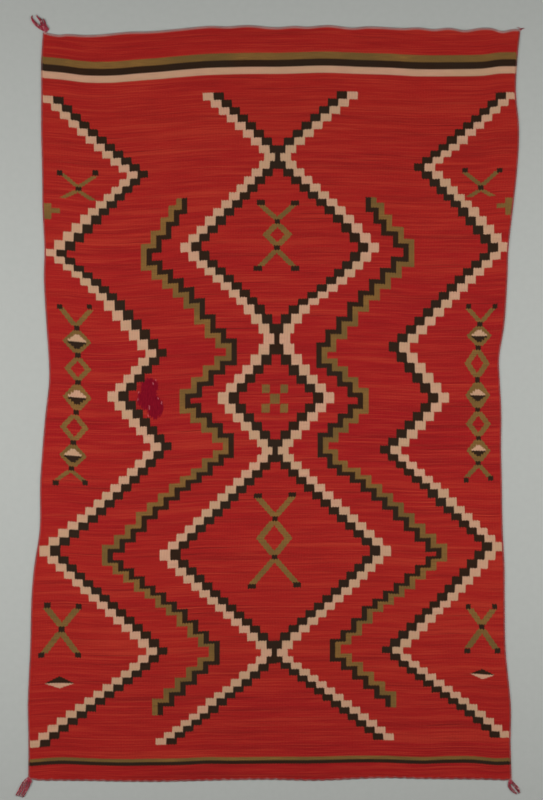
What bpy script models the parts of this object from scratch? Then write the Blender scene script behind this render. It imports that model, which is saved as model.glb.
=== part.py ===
"""A tapestry-woven wool serape lying flat, at real size, in metres with +Z up.

The long side runs along Y and the sheet lies on the plane z = 0. The woven body
is one flat sheet. Twined cords close its two ends and its two long sides, and the
ends of those cords are knotted into a small tassel at each corner.
"""

import math
from collections import namedtuple

import bmesh
import bpy
from mathutils import Vector

# Driving dimensions, in metres.
BODY_LENGTH = 1.93
SHEET_THICKNESS = 0.0024
END_SWELL = 0.0006
SHEET_SWELL = 0.0002
CORD_THICKNESS = 0.0032
SEAM_GAP = 0.0003
STRAND_TIP = 0.55
STRAND_LIFT = 0.0001

# How finely the sheet and the cords are divided.
COLUMNS = 60
ROWS = 28
CORD_SIDES = 8
STRAND_SECTIONS = 9

# The outline is charted on the photograph, in pixels across and down.
TOP_CORNER_DOWN = 32.0
BOTTOM_CORNER_DOWN = 779.0
CHART_LENGTH = 745.0
METRES_PER_PIXEL = BODY_LENGTH / CHART_LENGTH

SideRow = namedtuple("SideRow", "down left right")
SIDES = (
    SideRow(32, 43.3, 519.9),
    SideRow(60, 41.7, 517.0),
    SideRow(92, 41.7, 515.5),
    SideRow(130, 41.7, 518.6),
    SideRow(170, 42.6, 516.8),
    SideRow(209, 43.0, 512.6),
    SideRow(247, 44.9, 508.2),
    SideRow(279, 44.4, 506.9),
    SideRow(323, 46.9, 504.0),
    SideRow(358, 49.3, 498.7),
    SideRow(380, 49.5, 499.3),
    SideRow(412, 46.0, 500.9),
    SideRow(450, 42.8, 500.7),
    SideRow(483, 40.6, 501.4),
    SideRow(529, 40.1, 502.2),
    SideRow(567, 34.6, 504.0),
    SideRow(599, 31.9, 504.2),
    SideRow(650, 30.6, 505.2),
    SideRow(706, 28.2, 510.4),
    SideRow(742, 28.9, 510.1),
    SideRow(779, 28.7, 511.1),
)

EndRow = namedtuple("EndRow", "across down")
TOP_END = (
    EndRow(43, 31.8),
    EndRow(50, 34.2),
    EndRow(60, 35.6),
    EndRow(67, 34.7),
    EndRow(85, 35.8),
    EndRow(101, 35.2),
    EndRow(128, 32.5),
    EndRow(150, 32.0),
    EndRow(176, 29.8),
    EndRow(209, 26.6),
    EndRow(227, 27.1),
    EndRow(248, 25.8),
    EndRow(276, 28.0),
    EndRow(295, 26.6),
    EndRow(307, 27.4),
    EndRow(329, 25.8),
    EndRow(352, 28.4),
    EndRow(368, 27.1),
    EndRow(404, 28.7),
    EndRow(418, 28.0),
    EndRow(434, 29.8),
    EndRow(449, 28.4),
    EndRow(465, 30.9),
    EndRow(480, 28.6),
    EndRow(491, 28.7),
    EndRow(502, 31.7),
    EndRow(514, 29.6),
    EndRow(520, 30.4),
)
BOTTOM_END = (
    EndRow(28, 777.4),
    EndRow(35, 779.8),
    EndRow(61, 780.3),
    EndRow(91, 780.6),
    EndRow(127, 781.3),
    EndRow(168, 781.3),
    EndRow(211, 780.3),
    EndRow(268, 779.3),
    EndRow(316, 780.3),
    EndRow(380, 777.8),
    EndRow(421, 778.6),
    EndRow(482, 779.3),
    EndRow(511, 780.3),
)

# Places on a tassel are millimetres right of and above its corner.
Head = namedtuple("Head", "right up radius height")
Strand = namedtuple("Strand", "thickness route")
Tassel = namedtuple("Tassel", "name end side head strands")
TASSELS = (
    Tassel(
        name="tassel_top_left",
        end="top",
        side="left",
        head=Head(-2.9, 6.05, 6.4, 7.0),
        strands=(
            Strand(4.4, ((-4.4, 9.0), (-4.6, 16.0), (-6.6, 24.0), (-10.2, 32.0), (-15.0, 39.5))),
            Strand(3.6, ((-1.6, 9.0), (1.6, 17.5), (1.2, 25.0), (-1.6, 32.5), (-6.2, 38.0))),
            Strand(3.8, ((-6.0, 8.0), (-13.4, 12.6), (-21.0, 19.0), (-27.6, 27.6), (-31.2, 36.0), (-32.0, 43.0))),
            Strand(3.4, ((-1.0, 6.6), (3.4, 8.6), (7.8, 10.4))),
        ),
    ),
    Tassel(
        name="tassel_top_right",
        end="top",
        side="right",
        head=Head(2.3, 1.5, 2.5, 4.0),
        strands=(
            Strand(2.2, ((3.4, 2.4), (6.4, 3.6), (9.4, 3.4))),
            Strand(2.2, ((2.4, 2.6), (2.0, 5.6), (0.2, 7.6))),
        ),
    ),
    Tassel(
        name="tassel_bottom_left",
        end="bottom",
        side="left",
        head=Head(-4.75, -5.45, 7.0, 6.4),
        strands=(
            Strand(3.6, ((-8.6, -6.4), (-14.4, -12.0), (-22.6, -22.4), (-30.4, -34.0), (-36.6, -45.0))),
            Strand(3.4, ((-7.0, -7.8), (-10.6, -14.6), (-16.8, -25.4), (-23.6, -36.0), (-29.4, -44.4))),
            Strand(3.4, ((-5.0, -8.4), (-5.6, -16.6), (-10.8, -28.2), (-17.4, -39.4), (-22.6, -48.6))),
            Strand(3.6, ((-2.8, -7.0), (-0.2, -15.6), (-4.8, -27.2), (-10.6, -37.6), (-16.4, -47.0))),
        ),
    ),
    Tassel(
        name="tassel_bottom_right",
        end="bottom",
        side="right",
        head=Head(-0.6, -5.9, 5.6, 5.6),
        strands=(
            Strand(3.0, ((-3.4, -7.0), (-6.2, -13.0), (-5.4, -21.0), (1.2, -29.4), (11.6, -36.4))),
            Strand(2.8, ((-1.0, -8.0), (-0.4, -14.6), (3.6, -22.4), (9.6, -29.2), (17.0, -35.6))),
            Strand(2.8, ((1.2, -7.4), (5.4, -13.2), (11.4, -20.2), (16.8, -27.2), (21.6, -34.2))),
            Strand(3.0, ((2.8, -5.8), (10.2, -9.4), (18.0, -15.8), (23.8, -23.4), (26.6, -31.0))),
        ),
    ),
)

CLOTH_RED = (0.43, 0.030, 0.022)
CORD_CRIMSON = (0.36, 0.045, 0.060)


def smooth_value(places, values, at):
    """Reads a smooth curve through (place, value) pairs."""
    last = len(places) - 1
    at = min(max(at, places[0]), places[last])
    k = 0
    while k < last - 1 and at > places[k + 1]:
        k += 1

    def slope(i):
        low = max(i - 1, 0)
        high = min(i + 1, last)
        return (values[high] - values[low]) / (places[high] - places[low])

    span = places[k + 1] - places[k]
    t = (at - places[k]) / span
    rise = t * t * (3 - 2 * t)
    start_pull = t * (1 - t) ** 2 * span * slope(k)
    end_pull = t * t * (t - 1) * span * slope(k + 1)
    return values[k] + (values[k + 1] - values[k]) * rise + start_pull + end_pull


def side_at(down, side):
    """How far across the photograph a long side lies, in pixels."""
    return smooth_value([r.down for r in SIDES], [getattr(r, side) for r in SIDES], down)


def end_at(across, rows):
    """How far down the photograph an end lies, in pixels."""
    return smooth_value([r.across for r in rows], [r.down for r in rows], across)


def sheet_point(u, v):
    """A point of the woven sheet's plane: u runs left to right and v from the top end down.

    The outline on the photograph is that of the cords, so the sheet is drawn in by their width.
    """
    inset_px = (CORD_THICKNESS + SEAM_GAP) / METRES_PER_PIXEL
    down = TOP_CORNER_DOWN + v * (BOTTOM_CORNER_DOWN - TOP_CORNER_DOWN)
    left = side_at(down, "left") + inset_px
    right = side_at(down, "right") - inset_px
    across = left + u * (right - left)
    top = end_at(across, TOP_END) + inset_px
    bottom = end_at(across, BOTTOM_END) - inset_px
    return Vector((across, -(top + v * (bottom - top)), 0.0)) * METRES_PER_PIXEL


def corner_point(u, v):
    """The outer corner of the cords."""
    outward = CORD_THICKNESS + SEAM_GAP
    step = Vector((-outward if u == 0 else outward, outward if v == 0 else -outward, 0.0))
    return sheet_point(u, v) + step


def make_material(name, colour, roughness):
    material = bpy.data.materials.new(name)
    material.use_nodes = True
    shader = material.node_tree.nodes["Principled BSDF"]
    shader.inputs["Base Color"].default_value = (*colour, 1.0)
    shader.inputs["Roughness"].default_value = roughness
    shader.inputs["Metallic"].default_value = 0.0
    return material


def make_object(name, mesh_data, root, material=None):
    """Turns a bmesh into a named object that hangs on the root."""
    mesh = bpy.data.meshes.new(name)
    mesh_data.to_mesh(mesh)
    mesh_data.free()
    obj = bpy.data.objects.new(name, mesh)
    bpy.context.scene.collection.objects.link(obj)
    obj.parent = root
    if material:
        mesh.materials.append(material)
    return obj


def swell(u, v):
    """How much the upper face stands above the sheet's thickness.

    The pulled-in top end cockles between its tight spots, and the rest is nearly even.
    """
    end_share = max(0.0, 1.0 - v / 0.09)
    cockle = 0.5 + 0.5 * math.sin(2 * math.pi * (14.0 * u + 0.15))
    rolling = 0.5 + 0.5 * math.sin(2 * math.pi * (1.7 * u + 2.3 * v)) * math.cos(2 * math.pi * 3.1 * v)
    return END_SWELL * end_share * cockle + SHEET_SWELL * rolling


def build_sheet(root):
    """The woven body: a flat closed sheet inside the cords."""
    bm = bmesh.new()
    upper, lower = [], []
    for j in range(ROWS + 1):
        v = j / ROWS
        points = [sheet_point(i / COLUMNS, v) for i in range(COLUMNS + 1)]
        tops = [SHEET_THICKNESS + swell(i / COLUMNS, v) for i in range(COLUMNS + 1)]
        upper.append([bm.verts.new((p.x, p.y, z)) for p, z in zip(points, tops)])
        lower.append([bm.verts.new((p.x, p.y, 0.0)) for p in points])
    for j in range(ROWS):
        for i in range(COLUMNS):
            bm.faces.new((upper[j][i], upper[j + 1][i], upper[j + 1][i + 1], upper[j][i + 1]))
            bm.faces.new((lower[j][i], lower[j][i + 1], lower[j + 1][i + 1], lower[j + 1][i]))
    for loop in (0, COLUMNS):
        for j in range(ROWS):
            bm.faces.new((upper[j][loop], lower[j][loop], lower[j + 1][loop], upper[j + 1][loop]))
    for loop in (0, ROWS):
        for i in range(COLUMNS):
            bm.faces.new((upper[loop][i], upper[loop][i + 1], lower[loop][i + 1], lower[loop][i]))
    bmesh.ops.recalc_face_normals(bm, faces=bm.faces)
    return make_object("serape_cloth", bm, root, make_material("woven_wool", CLOTH_RED, 0.95))


def swept_solid(route, rings):
    """A closed bmesh through rings of points, one ring for each place on the route.

    Each ring is a list of (sideways, up) pairs, in metres, off its place on the route.
    """
    bm = bmesh.new()
    loops = []
    for i, place in enumerate(route):
        ahead = route[min(i + 1, len(route) - 1)] - route[max(i - 1, 0)]
        sideways = Vector((-ahead.y, ahead.x, 0.0)).normalized()
        loops.append([bm.verts.new(place + sideways * s + Vector((0.0, 0.0, z))) for s, z in rings[i]])
    for first, second in zip(loops, loops[1:]):
        for k in range(len(first)):
            n = (k + 1) % len(first)
            bm.faces.new((first[k], first[n], second[n], second[k]))
    bm.faces.new(loops[0])
    bm.faces.new(loops[-1])
    bmesh.ops.recalc_face_normals(bm, faces=bm.faces)
    return bm


def cord_ring(thickness):
    """A round cord's section, standing on one of its flats."""
    radius = thickness / 2
    turn = 2 * math.pi / CORD_SIDES
    lift = radius * math.cos(turn / 2)
    return [
        (radius * math.cos(turn * (k + 0.5)), lift + radius * math.sin(turn * (k + 0.5)))
        for k in range(CORD_SIDES)
    ]


def build_cord(name, route, root, material):
    ring = cord_ring(CORD_THICKNESS)
    obj = make_object(name, swept_solid(route, [ring] * len(route)), root, material)
    obj.data.shade_smooth()
    return obj


def end_route(v):
    """The middle of an end cord, over the whole width, past both side cords."""
    step = CORD_THICKNESS / 2 + SEAM_GAP
    outward = Vector((0.0, step if v == 0 else -step, 0.0))
    route = [sheet_point(i / COLUMNS, v) + outward for i in range(COLUMNS + 1)]
    past = Vector((CORD_THICKNESS + SEAM_GAP, 0.0, 0.0))
    return [route[0] - past] + route + [route[-1] + past]


def side_route(u):
    """The middle of a side cord, between the two end cords."""
    step = CORD_THICKNESS / 2 + SEAM_GAP
    outward = Vector((-step if u == 0 else step, 0.0, 0.0))
    return [sheet_point(u, j / ROWS) + outward for j in range(ROWS + 1)]


def corner_of(tassel):
    u = 0 if tassel.side == "left" else 1
    v = 0 if tassel.end == "top" else 1
    return corner_point(u, v)


def smooth_route(points, sections):
    """Places spaced evenly along a smooth curve through the given points."""
    steps = [0.0]
    for a, b in zip(points, points[1:]):
        steps.append(steps[-1] + (b - a).length)
    places = [steps[-1] * k / (sections - 1) for k in range(sections)]
    return [
        Vector((
            smooth_value(steps, [p.x for p in points], s),
            smooth_value(steps, [p.y for p in points], s),
            0.0,
        ))
        for s in places
    ]


def build_strand(name, strand, corner, root):
    """One yarn of a tassel: four sides, level on the ground, thinner at its tip."""
    points = [corner + Vector((right, up, 0.0)) / 1000 for right, up in strand.route]
    route = smooth_route(points, STRAND_SECTIONS)
    rings = []
    for k in range(STRAND_SECTIONS):
        share = k / (STRAND_SECTIONS - 1)
        wide = strand.thickness / 1000 * (1 - (1 - STRAND_TIP) * share ** 3)
        half = wide / 2
        top = STRAND_LIFT + wide * 0.9
        rings.append([(-half, STRAND_LIFT), (half, STRAND_LIFT), (half * 0.8, top), (-half * 0.8, top)])
    obj = make_object(name, swept_solid(route, rings), root)
    obj.hide_render = True
    obj.display_type = "WIRE"
    return obj


def build_head(tassel, corner, root, material):
    """The knot of a tassel, a lump that sits flat on the ground."""
    head = tassel.head
    bm = bmesh.new()
    bmesh.ops.create_uvsphere(bm, u_segments=14, v_segments=9, radius=1.0)
    half_height = head.height / 2000
    centre = corner + Vector((head.right, head.up, 0.0)) / 1000
    for vert in bm.verts:
        x, y, z = vert.co
        vert.co = (
            centre.x + x * head.radius / 1000,
            centre.y + y * head.radius / 1000,
            max(half_height + z * half_height * 1.25, 0.0),
        )
    bmesh.ops.recalc_face_normals(bm, faces=bm.faces)
    return make_object(tassel.name, bm, root, material)


def build_tassel(tassel, root, material):
    """A knotted head with its yarns joined to it at their roots."""
    corner = corner_of(tassel)
    yarns = bpy.data.collections.new(tassel.name + "_yarns")
    bpy.context.scene.collection.children.link(yarns)
    for number, strand in enumerate(tassel.strands, 1):
        obj = build_strand(f"{tassel.name}_yarn_{number}", strand, corner, root)
        bpy.context.scene.collection.objects.unlink(obj)
        yarns.objects.link(obj)
    obj = build_head(tassel, corner, root, material)
    join = obj.modifiers.new("Join yarns", "BOOLEAN")
    join.operation = "UNION"
    join.operand_type = "COLLECTION"
    join.collection = yarns
    join.solver = "EXACT"
    return obj


def centre_on_origin(root):
    """Moves the root so that the middle of the whole outline is at the origin."""
    points = [vert.co for obj in root.children for vert in obj.data.vertices]
    middle_x = (min(p.x for p in points) + max(p.x for p in points)) / 2
    middle_y = (min(p.y for p in points) + max(p.y for p in points)) / 2
    root.location = (-middle_x, -middle_y, 0.0)


def main():
    for obj in list(bpy.data.objects):
        bpy.data.objects.remove(obj)
    root = bpy.data.objects.new("serape_root", None)
    bpy.context.scene.collection.objects.link(root)
    crimson = make_material("twined_wool", CORD_CRIMSON, 0.9)
    build_sheet(root)
    build_cord("end_cord_top", end_route(0), root, crimson)
    build_cord("end_cord_bottom", end_route(1), root, crimson)
    build_cord("side_cord_left", side_route(0), root, crimson)
    build_cord("side_cord_right", side_route(1), root, crimson)
    for tassel in TASSELS:
        build_tassel(tassel, root, crimson)
    centre_on_origin(root)


main()
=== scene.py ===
"""The looks of a tapestry-woven wool serape that lies flat, seen from straight above.

Lengths are in metres. What is charted on the photograph is in its pixels, across and
down, and Chart turns those into places on the surface.
"""

import logging
import math
import random
from dataclasses import dataclass, field, replace
from enum import Enum
from typing import Iterable, Optional, Sequence, Union

import bpy
import numpy as np
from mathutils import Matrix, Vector


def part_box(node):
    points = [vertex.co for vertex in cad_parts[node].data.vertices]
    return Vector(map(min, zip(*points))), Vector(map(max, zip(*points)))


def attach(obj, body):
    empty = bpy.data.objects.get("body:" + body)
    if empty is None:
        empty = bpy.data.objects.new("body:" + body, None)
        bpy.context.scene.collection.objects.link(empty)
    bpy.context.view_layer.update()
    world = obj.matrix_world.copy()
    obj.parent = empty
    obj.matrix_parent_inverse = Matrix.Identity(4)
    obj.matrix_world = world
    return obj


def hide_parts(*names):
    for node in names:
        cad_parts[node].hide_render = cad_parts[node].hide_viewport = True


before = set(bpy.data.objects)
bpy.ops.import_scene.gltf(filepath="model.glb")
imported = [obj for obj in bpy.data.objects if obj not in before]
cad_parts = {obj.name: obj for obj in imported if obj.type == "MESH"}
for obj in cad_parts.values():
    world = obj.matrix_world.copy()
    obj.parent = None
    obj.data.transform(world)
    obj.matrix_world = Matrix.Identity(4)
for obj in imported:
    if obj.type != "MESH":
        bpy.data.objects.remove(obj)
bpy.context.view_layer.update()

logging.basicConfig(level=logging.INFO, format="%(name)s: %(message)s")
log = logging.getLogger("serape")

Socket = bpy.types.NodeSocket
Term = Union[Socket, float]
Colour = tuple[float, float, float]


class Side(Enum):
    """A long side of the cloth."""

    LEFT = 0.0
    RIGHT = 1.0


class End(Enum):
    """A short end of the cloth."""

    TOP = 0.0
    BOTTOM = 1.0


class Hand(Enum):
    """Which side of a stepped line its outer colour lies on."""

    LEFT = 1
    RIGHT = -1


def linear(red: int, green: int, blue: int) -> Colour:
    """Turns a colour from 0 to 255 into the shader's linear values.

    Args:
        red: its red, from 0 to 255.
        green: its green.
        blue: its blue.

    Returns:
        Red, green and blue as the shader takes them.
    """

    def one(value: int) -> float:
        """One of the three."""
        share = value / 255
        return share / 12.92 if share <= 0.04045 else ((share + 0.055) / 1.055) ** 2.4

    return one(red), one(green), one(blue)


def smooth_curve(places: Sequence[float], values: Sequence[float], at: np.ndarray) -> np.ndarray:
    """Reads a smooth curve through charted points.

    Args:
        places: where the points lie, rising.
        values: the curve's value at each place.
        at: where to read it.

    Returns:
        The curve's value at each of those places.
    """
    x = np.asarray(places, float)
    y = np.asarray(values, float)
    low = np.maximum(np.arange(len(x)) - 1, 0)
    high = np.minimum(np.arange(len(x)) + 1, len(x) - 1)
    slope = (y[high] - y[low]) / (x[high] - x[low])
    at = np.clip(at, x[0], x[-1])
    k = np.clip(np.searchsorted(x, at, side="left") - 1, 0, len(x) - 2)
    span = x[k + 1] - x[k]
    t = (at - x[k]) / span
    rise = t * t * (3 - 2 * t)
    pull = t * (1 - t) ** 2 * span * slope[k] + t * t * (t - 1) * span * slope[k + 1]
    return y[k] + (y[k + 1] - y[k]) * rise + pull


def thinned(points: Sequence[tuple[float, float]], slack: float) -> list[tuple[float, float]]:
    """Drops the points that a straight line between the others passes near enough.

    Args:
        points: (place, height) pairs, with rising places.
        slack: how far the line may pass from a dropped point, in height.

    Returns:
        The points that are left, with the first and the last.
    """
    (x0, y0), (x1, y1) = points[0], points[-1]
    off = [abs(y - y0 - (y1 - y0) * (x - x0) / (x1 - x0)) for x, y in points]
    far = max(range(len(points)), key=off.__getitem__)
    if off[far] <= slack:
        return [points[0], points[-1]]
    return thinned(points[:far + 1], slack)[:-1] + thinned(points[far:], slack)


@dataclass(frozen=True)
class Chart:
    """The cloth's outline and the waves of its weft, as charted on the photograph."""

    body_length: float = 1.93
    chart_length: float = 745.0
    top_corner: float = 32.0
    bottom_corner: float = 779.0
    cord_room: float = 0.0035
    width: float = 1.24
    ribs: int = 344
    scallop_pitch: float = 8.6
    scallop_depth: float = 0.75
    # Each row is down, left, right.
    sides: tuple = (
        (32, 43.3, 519.9), (60, 41.7, 517.0), (92, 41.7, 515.5), (130, 41.7, 518.6),
        (170, 42.6, 516.8), (209, 43.0, 512.6), (247, 44.9, 508.2), (279, 44.4, 506.9),
        (323, 46.9, 504.0), (358, 49.3, 498.7), (380, 49.5, 499.3), (412, 46.0, 500.9),
        (450, 42.8, 500.7), (483, 40.6, 501.4), (529, 40.1, 502.2), (567, 34.6, 504.0),
        (599, 31.9, 504.2), (650, 30.6, 505.2), (706, 28.2, 510.4), (742, 28.9, 510.1),
        (779, 28.7, 511.1),
    )
    # Each row is across, down.
    top_end: tuple = (
        (43, 31.8), (50, 34.2), (60, 35.6), (67, 34.7), (85, 35.8), (101, 35.2), (128, 32.5),
        (150, 32.0), (176, 29.8), (209, 26.6), (227, 27.1), (248, 25.8), (276, 28.0),
        (295, 26.6), (307, 27.4), (329, 25.8), (352, 28.4), (368, 27.1), (404, 28.7),
        (418, 28.0), (434, 29.8), (449, 28.4), (465, 30.9), (480, 28.6), (491, 28.7),
        (502, 31.7), (514, 29.6), (520, 30.4),
    )
    bottom_end: tuple = (
        (28, 777.4), (35, 779.8), (61, 780.3), (91, 780.6), (127, 781.3), (168, 781.3),
        (211, 780.3), (268, 779.3), (316, 780.3), (380, 777.8), (421, 778.6), (482, 779.3),
        (511, 780.3),
    )
    # How far the weft sags below its mean at the top stripes and at the bottom ones.
    top_wave: tuple = (
        (43, 1.5), (63, 3.4), (85, 6.1), (112, 6.4), (139, 4.2), (161, 2.6), (172, 1.5),
        (205, -1.2), (232, -2.1), (254, -2.5), (281, -2.5), (325, -3.7), (358, -2.5),
        (391, -1.5), (418, -0.1), (456, -0.1), (483, -0.7), (499, -2.8), (515, -3.1),
    )
    bottom_wave: tuple = (
        (30, 2.1), (61, 0.0), (91, 1.0), (122, 1.8), (145, 1.5), (181, 1.0), (206, -0.2),
        (232, 0.0), (278, -0.5), (311, -0.5), (357, -1.5), (382, -1.5), (421, -0.2),
        (446, -1.0), (472, -1.0), (497, 1.0), (510, 0.5),
    )
    top_stripes_down: float = 70.0
    bottom_stripes_down: float = 760.0

    @property
    def pixel(self) -> float:
        """The real size of one pixel of the photograph."""
        return self.body_length / self.chart_length

    def inset(self) -> float:
        """How far the sheet stays inside the outline, in pixels."""
        return self.cord_room / self.pixel

    def sheet_pixels(self, u: np.ndarray, v: np.ndarray) -> tuple[np.ndarray, np.ndarray]:
        """Where a point of the sheet shows on the photograph.

        Args:
            u: share of the width, from the left.
            v: share of the length, from the top.

        Returns:
            Across and down, in pixels.
        """
        down = self.top_corner + v * (self.bottom_corner - self.top_corner)
        rows = np.asarray(self.sides)
        left = smooth_curve(rows[:, 0], rows[:, 1], down) + self.inset()
        right = smooth_curve(rows[:, 0], rows[:, 2], down) - self.inset()
        across = left + u * (right - left)
        top_rows, bottom_rows = np.asarray(self.top_end), np.asarray(self.bottom_end)
        top = smooth_curve(top_rows[:, 0], top_rows[:, 1], across) + self.inset()
        bottom = smooth_curve(bottom_rows[:, 0], bottom_rows[:, 1], across) - self.inset()
        return across, top + v * (bottom - top)

    def origin(self) -> tuple[float, float]:
        """The pixel at the row's origin, worked out from the sheet's box.

        Returns:
            Across and down, in pixels.
        """
        u, v = np.meshgrid(np.linspace(0, 1, 61), np.linspace(0, 1, 29))
        across, down = self.sheet_pixels(u, v)
        low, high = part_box("serape_cloth")
        middle_x = (low[0] + high[0]) / 2
        middle_y = (low[1] + high[1]) / 2
        return (
            (across.min() + across.max()) / 2 - middle_x / self.pixel,
            (down.min() + down.max()) / 2 + middle_y / self.pixel,
        )

    def wave(self, across: Term, down: Term) -> np.ndarray:
        """How far below its mean height the weft lies at a place, in pixels.

        Args:
            across: the place across, in pixels.
            down: the place down, in pixels.

        Returns:
            The sag, more than zero where the weft lies lower.
        """
        top_rows, bottom_rows = np.asarray(self.top_wave), np.asarray(self.bottom_wave)
        top = smooth_curve(top_rows[:, 0], top_rows[:, 1], across)
        bottom = smooth_curve(bottom_rows[:, 0], bottom_rows[:, 1], across)
        span = self.bottom_stripes_down - self.top_stripes_down
        share = np.clip((np.asarray(down, float) - self.top_stripes_down) / span, 0, 1)
        return top + (bottom - top) * share

    def weft(self, across: float, down: float) -> float:
        """The height in the weave, in pixels, of a place on the photograph."""
        return float(down - self.wave(across, down))


CHART = Chart()
ORIGIN_ACROSS, ORIGIN_DOWN = CHART.origin()


def place(across: np.ndarray, down: np.ndarray) -> tuple[np.ndarray, np.ndarray]:
    """Turns pixels of the photograph into X and Y on the surface."""
    return (across - ORIGIN_ACROSS) * CHART.pixel, (ORIGIN_DOWN - down) * CHART.pixel


class NodeSheet:
    """Writes a material's sums as nodes."""

    def __init__(self, material: bpy.types.Material) -> None:
        """Starts on the node tree of the given material."""
        self.tree = material.node_tree

    def node(self, kind: str, inputs: Optional[dict] = None, **settings: object) -> bpy.types.Node:
        """Adds a node, sets it up and joins its inputs.

        Args:
            kind: the node's type.
            inputs: an input's name or number to a value or a socket.
            settings: the node's own settings.

        Returns:
            The new node.
        """
        made = self.tree.nodes.new(kind)
        for name, value in settings.items():
            setattr(made, name, value)
        for key, value in (inputs or {}).items():
            if isinstance(value, bpy.types.NodeSocket):
                self.tree.links.new(value, made.inputs[key])
            else:
                made.inputs[key].default_value = value
        return made

    def math(self, operation: str, *terms: Term) -> Socket:
        """One sum of up to three terms."""
        return self.node("ShaderNodeMath", dict(enumerate(terms)), operation=operation).outputs[0]

    def any_of(self, masks: Iterable[Socket]) -> Socket:
        """One wherever at least one of the masks is one.

        Args:
            masks: the masks to join, at least one.

        Returns:
            The joined mask.
        """
        masks = list(masks)
        while len(masks) > 1:
            pairs = zip(masks[::2], masks[1::2])
            joined = [self.math("MAXIMUM", a, b) for a, b in pairs]
            masks = joined + (masks[-1:] if len(masks) % 2 else [])
        return masks[0]

    def both(self, first: Term, second: Term) -> Socket:
        """One where both masks are one."""
        return self.math("MULTIPLY", first, second)

    def without(self, mask: Socket, cut: Socket) -> Socket:
        """The first mask less the second."""
        return self.math("MULTIPLY", mask, self.math("SUBTRACT", 1.0, cut))

    def between(self, value: Term, low: float, high: float) -> Socket:
        """One where the value lies between two limits."""
        return self.math("COMPARE", value, (low + high) / 2, (high - low) / 2)

    def block(self, across: Socket, weft: Socket, left: float, top: float, right: float,
              bottom: float) -> Socket:
        """A rectangle of one colour."""
        return self.both(self.between(across, left, right), self.between(weft, top, bottom))

    def bent_line(self, value: Socket, points: Sequence[tuple[float, float]]) -> Socket:
        """A line with a kink at each of its inner points.

        Args:
            value: where to read it.
            points: (place, height) pairs, with rising places.

        Returns:
            The line's height there. It runs straight on past its first and last points.
        """
        slopes = [(b[1] - a[1]) / (b[0] - a[0]) for a, b in zip(points, points[1:])]
        start = points[0][1] - slopes[0] * points[0][0]
        kinks = []
        for k in range(1, len(slopes)):
            change = slopes[k] - slopes[k - 1]
            if abs(change) > 1e-6:
                kinks.append((points[k][0], change))
                start -= change * points[k][0]
        line = self.math("MULTIPLY_ADD", value, slopes[0], start)
        for at, change in kinks:
            line = self.math("MULTIPLY_ADD", self.math("MAXIMUM", value, at), change, line)
        return line

    def noise(self, vector: Socket, scale: float, detail: float, roughness: float = 0.5) -> Socket:
        """Plain noise from 0 to 1."""
        inputs = {"Vector": vector, "Scale": scale, "Detail": detail, "Roughness": roughness}
        return self.node("ShaderNodeTexNoise", inputs).outputs[0]

    def stretched(self, vector: Socket, scale: tuple[float, float, float]) -> Socket:
        """A vector with each axis scaled by itself."""
        return self.node("ShaderNodeMapping", {"Vector": vector, "Scale": scale}).outputs[0]

    def mix(self, share: Term, first: object, second: object) -> Socket:
        """Mixes two colours by a share.

        Args:
            share: how much of the second colour, from 0 to 1.
            first: a socket or a colour.
            second: a socket or a colour.

        Returns:
            The mixed colour.
        """
        made = self.node("ShaderNodeMix", data_type="RGBA")
        for key, value in ((0, share), (6, first), (7, second)):
            if isinstance(value, bpy.types.NodeSocket):
                self.tree.links.new(value, made.inputs[key])
            elif key:
                made.inputs[key].default_value = (*value, 1.0)
            else:
                made.inputs[key].default_value = value
        return made.outputs[2]

    def spread(self, value: Term, low: float, high: float, out_low: float, out_high: float) -> Socket:
        """Maps one range of values to another and holds it inside."""
        inputs = {0: value, 1: low, 2: high, 3: out_low, 4: out_high}
        return self.node("ShaderNodeMapRange", inputs).outputs[0]


@dataclass(frozen=True)
class Turn:
    """A row of a stepped line at which it turns: its top, and where its colours meet."""

    row: int
    across: float
    down: float


@dataclass(frozen=True)
class Zigzag:
    """A stepped line of a pale block and a dark one in each row."""

    hand: Hand
    rows: int
    end_down: float
    turns: tuple[Turn, ...]
    block_width: float = 10.6
    lean: float = 0.05


def turn_rows(*rows: tuple[int, float, float]) -> tuple[Turn, ...]:
    """Charts a stepped line's turns from rows of number, across and down."""
    return tuple(Turn(*row) for row in rows)


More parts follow.
